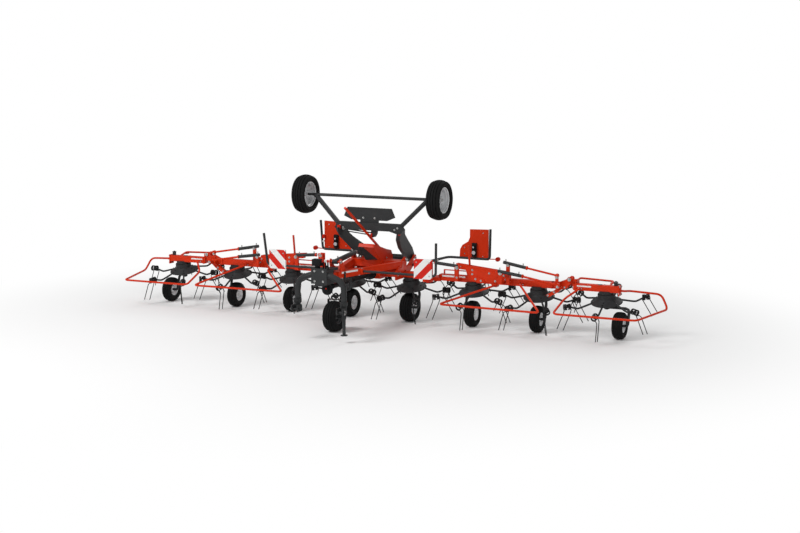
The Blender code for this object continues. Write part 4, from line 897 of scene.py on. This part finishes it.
# Fittings that stand once, in the machine's frame
SINGLE = [
    ("arm_strip", "drawbar", "white_film",
     [("box", (0.037, 0.04, 0.016), (0.0388, 0.44, 0.044), ARM_WAY, FILM_BEVEL)]),
    ("arm_tube", "drawbar", "dark_paint", [("rod", (0.117, -1.44, 0.84), (0.117, -1.44, 0.968), 0.014)]),
    ("shaft_guard", "pto_shaft", "plastic",
     [("rod", (0, -1.802, 0.745), (0, -1.78, 0.745), 0.088),
      ("rod", (0, -1.832, 0.76), (0, -1.8, 0.76), 0.034)]
     + [("rod", (0, y, SHAFT_Z), (0, y + RIB_WIDTH, SHAFT_Z), radius) for y, radius in SHAFT_RIBS]),
    ("shaft_dot", "pto_shaft", "red_cap", [("rod", (0, -1.836, 0.76), (0, -1.83, 0.76), 0.013)]),
    ("valve_block", "headstock_frame", "plastic",
     [("box", (-0.2, -1.9, 1.1), (-0.06, -1.8, 1.2)), ("box", (-0.18, -1.9, 1.048), (0.065, -1.8, 1.06)),
      ("box", (-0.16, -1.88, 1.05), (-0.1, -1.82, 1.11))]
     + [coupler(x) for x in sorted((*RED_COUPLERS, WHITE_COUPLER))]),
    ("coupler_caps", "headstock_frame", "red_cap", [coupler_cap(x) for x in RED_COUPLERS]),
    ("coupler_white", "headstock_frame", "white_film", [coupler_cap(WHITE_COUPLER)]),
    ("cylinder_ends", "chassis_cylinder", "zinc",
     [("rod", (-0.037, -1.376, 1.15), (-0.037, -1.376, 1.19), 0.01, HEXAGON),
      ("rod", (-0.27, -0.424, 1.12), (-0.27, -0.424, 1.16), 0.01, HEXAGON),
      ("rod", (-0.345, -0.21, 1.088), (-0.303, -0.21, 1.086), EYE_RADIUS)]),
    ("lever_cap", "chassis_frame", "red_cap",
     [("box", (-0.54, -0.43, 1.47), (-0.485, -0.398, 1.535), None, 0.008),
      ("box", (0.036, -0.402, 1.36), (0.062, -0.384, 1.425)),
      ("rod", (0.535, -0.399, 1.44), (0.535, -0.408, 1.44), 0.022)]),
    ("rear_knob", "drawbar", "red_cap", [("rod", (-1.5, 0.9, 1.145), (-1.5, 0.935, 1.145), 0.034)]),
    ("rear_dot", "drawbar", "white_film", [("rod", (-1.5, 0.9, 1.065), (-1.5, 0.935, 1.065), 0.014)]),
    ("lever_links", "chassis_frame", "dark_paint",
     [("tube", [(-0.42, -0.36, 1.472), (0.06, -0.36, 1.43)], 0.011),
      ("tube", [(-0.39, -0.36, 1.436), (0.06, -0.36, 1.392)], 0.009)]),
    ("lever_bolts", "chassis_frame", "zinc", bolts(FRONT, 0.014, (-0.44, -0.4, 1.478))),
    ("wheel_scraper", "support_wheel_bar", "dark_paint",
     [("box", (-0.27, -1.285, 0.492), (-0.01, -1.22, 0.502)),
      ("box", (-0.27, -1.285, 0.44), (-0.262, -1.22, 0.5))]),
]

# The lever behind the chassis cylinder's rod: an outline in (y, z), on a plane that leans outwards
LEVER_OUTLINE = [
    (-0.5, 1.5), (-0.52, 1.44), (-0.43, 1.31), (-0.2, 1.09), (-0.14, 1.045), (0.2, 0.955), (0.39, 0.934),
    (0.19, 1.065), (0.06, 1.213), (-0.16, 1.38), (-0.2, 1.47), (-0.28, 1.5),
]
LEVER_SLOPE = -0.41
LEVER_START = 0.107
LEVER_HALF = 0.012
LEVER_BEVEL = 0.003

# The dark guard on the hood's front: an outline in (x, y), below the hood's face, which leans back
HOOD_GUARD = [(-0.129, -0.498), (-0.052, -0.498), (0.088, -0.2585), (-0.129, -0.2375)]
HOOD_FOOT_Y = -0.15
HOOD_FOOT_Z = 0.9
HOOD_SLOPE = -0.32 / 0.35
HOOD_START = HOOD_FOOT_Z - HOOD_SLOPE * HOOD_FOOT_Y
HOOD_GUARD_DEPTH = 0.006
HOOD_GUARD_BEVEL = 0.001


def mirrored(sign):
    """The matrix for a side: as it stands on the right, mirrored on the left."""
    return Matrix.Scale(sign, 4, (1, 0, 0))


def leaning(moved, along, slope, start):
    """A matrix that sets one axis (0, 1 or 2) by the slope along another, from a start."""
    lean = Matrix.Identity(4)
    lean[moved][along], lean[moved][3] = slope, start
    return lean


def fitted(name, node, finish, items, sign=1):
    """The small shapes of one row, on one side."""
    shape = Shape(mirrored(sign))
    for kind, *sizes in items:
        getattr(shape, kind)(*sizes)
    shape.piece(name, BODY_OF[node], finish)


def fittings():
    for name, node, finish, items in SINGLE:
        fitted(name, node, finish, items)
    for side, sign in SIDES.items():
        for node, route in GUARDS.items():
            guard = Shape(mirrored(sign)).tube(route, TUBE_RADIUS, bend=TUBE_BEND)
            guard.piece(f"round_{node}_{side}", BODY_OF[f"{node}_{side}"], "red_paint", [f"{node}_{side}"])
        for name, node, finish, items in PAIRED:
            whole = node if node in BODY_OF else f"{node}_{side}"
            fitted(f"{name}_{side}", whole, finish, items, sign)
    lever = Shape(leaning(0, 2, LEVER_SLOPE, LEVER_START))
    lever.plate(LEVER_OUTLINE, -LEVER_HALF, LEVER_HALF, "YZ", LEVER_BEVEL)
    lever.piece("lever_inner", BODY_OF["chassis_frame"], "dark_paint")
    hood = Shape(leaning(2, 1, HOOD_SLOPE, HOOD_START))
    hood.plate(HOOD_GUARD, -HOOD_GUARD_DEPTH, 0, "XY", HOOD_GUARD_BEVEL)
    hood.piece("hood_guard", BODY_OF["drawbar"], "dark_paint")


def seen_directly(tree):
    """1 on rays straight from the camera, and 0 on the others."""
    return tree.nodes.new("ShaderNodeLightPath").outputs["Is Camera Ray"]


def floor_material():
    """A white floor that keeps the shadow near the machine and fades to the white surroundings."""
    made = bpy.data.materials.new("floor")
    made.use_nodes = True
    tree = made.node_tree
    shader = tree.nodes["Principled BSDF"]
    shader.inputs["Base Color"].default_value = FLOOR_COLOUR
    shader.inputs["Roughness"].default_value = FLOOR_ROUGHNESS
    place = tree.nodes.new("ShaderNodeTexCoord").outputs["Object"]
    away = tree.nodes.new("ShaderNodeVectorMath")
    away.operation = "LENGTH"
    link(tree, place, away.inputs[0])
    fade = tree.nodes.new("ShaderNodeMapRange")
    fade.interpolation_type = "SMOOTHSTEP"
    fade.inputs["From Min"].default_value = FADE_START
    fade.inputs["From Max"].default_value = FADE_END
    link(tree, away.outputs["Value"], fade.inputs["Value"])
    glow = tree.nodes.new("ShaderNodeEmission")
    glow.inputs["Strength"].default_value = 1.0
    mix = tree.nodes.new("ShaderNodeMixShader")
    link(tree, maths(tree, "MULTIPLY", fade.outputs["Result"], seen_directly(tree)), mix.inputs["Fac"])
    link(tree, shader.outputs[0], mix.inputs[1])
    link(tree, glow.outputs[0], mix.inputs[2])
    link(tree, mix.outputs[0], tree.nodes["Material Output"].inputs["Surface"])
    return made


def floor():
    made = bpy.data.objects.new("floor", bpy.data.meshes.new("floor"))
    shape = bmesh.new()
    bmesh.ops.create_grid(shape, x_segments=2, y_segments=2, size=FLOOR_HALF)
    shape.to_mesh(made.data)
    shape.free()
    bpy.context.scene.collection.objects.link(made)
    made.data.materials.append(floor_material())


def surroundings():
    """A world that lights softly and looks white."""
    world = bpy.data.worlds.new("studio")
    world.use_nodes = True
    bpy.context.scene.world = world
    tree = world.node_tree
    lit = tree.nodes["Background"]
    lit.inputs["Color"].default_value = WHITE
    lit.inputs["Strength"].default_value = SURROUNDINGS_STRENGTH
    seen = tree.nodes.new("ShaderNodeBackground")
    seen.inputs["Color"].default_value = WHITE
    seen.inputs["Strength"].default_value = 1.0
    mix = tree.nodes.new("ShaderNodeMixShader")
    link(tree, seen_directly(tree), mix.inputs["Fac"])
    link(tree, lit.outputs[0], mix.inputs[1])
    link(tree, seen.outputs[0], mix.inputs[2])
    link(tree, mix.outputs[0], tree.nodes["World Output"].inputs["Surface"])


def lamps():
    for name, place, size, power in LAMPS:
        light = bpy.data.lights.new(name, "AREA")
        light.shape = "DISK"
        light.size = size
        light.energy = power
        lamp = bpy.data.objects.new(name, light)
        lamp.location = place
        lamp.rotation_euler = (CAMERA_AIM - Vector(place)).to_track_quat("-Z", "Y").to_euler()
        bpy.context.scene.collection.objects.link(lamp)


def photograph_camera():
    camera = bpy.data.objects.new("camera", bpy.data.cameras.new("camera"))
    bpy.context.scene.collection.objects.link(camera)
    camera.data.sensor_width = SENSOR_MM
    camera.data.lens = CAMERA_FOCAL_PIXELS * SENSOR_MM / IMAGE_WIDTH
    camera.data.clip_end = CAMERA_DISTANCE * CLIP_SHARE
    away = Vector((sin(CAMERA_AZIMUTH) * cos(CAMERA_HEIGHT_ANGLE),
                   -cos(CAMERA_AZIMUTH) * cos(CAMERA_HEIGHT_ANGLE), sin(CAMERA_HEIGHT_ANGLE)))
    camera.location = ROOT @ CAMERA_AIM + away * CAMERA_DISTANCE
    camera.rotation_euler = (-away).to_track_quat("-Z", "Y").to_euler()
    bpy.context.scene.camera = camera


def studio():
    """The floor, the white surroundings, the soft lamps and the photograph's camera."""
    bpy.context.scene.view_settings.view_transform = "Standard"
    floor()
    surroundings()
    lamps()
    photograph_camera()


def sizes():
    """Brings the scene's placements up to date."""
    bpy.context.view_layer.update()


wheels()
rotors()
structure()
fittings()
studio()
sizes()
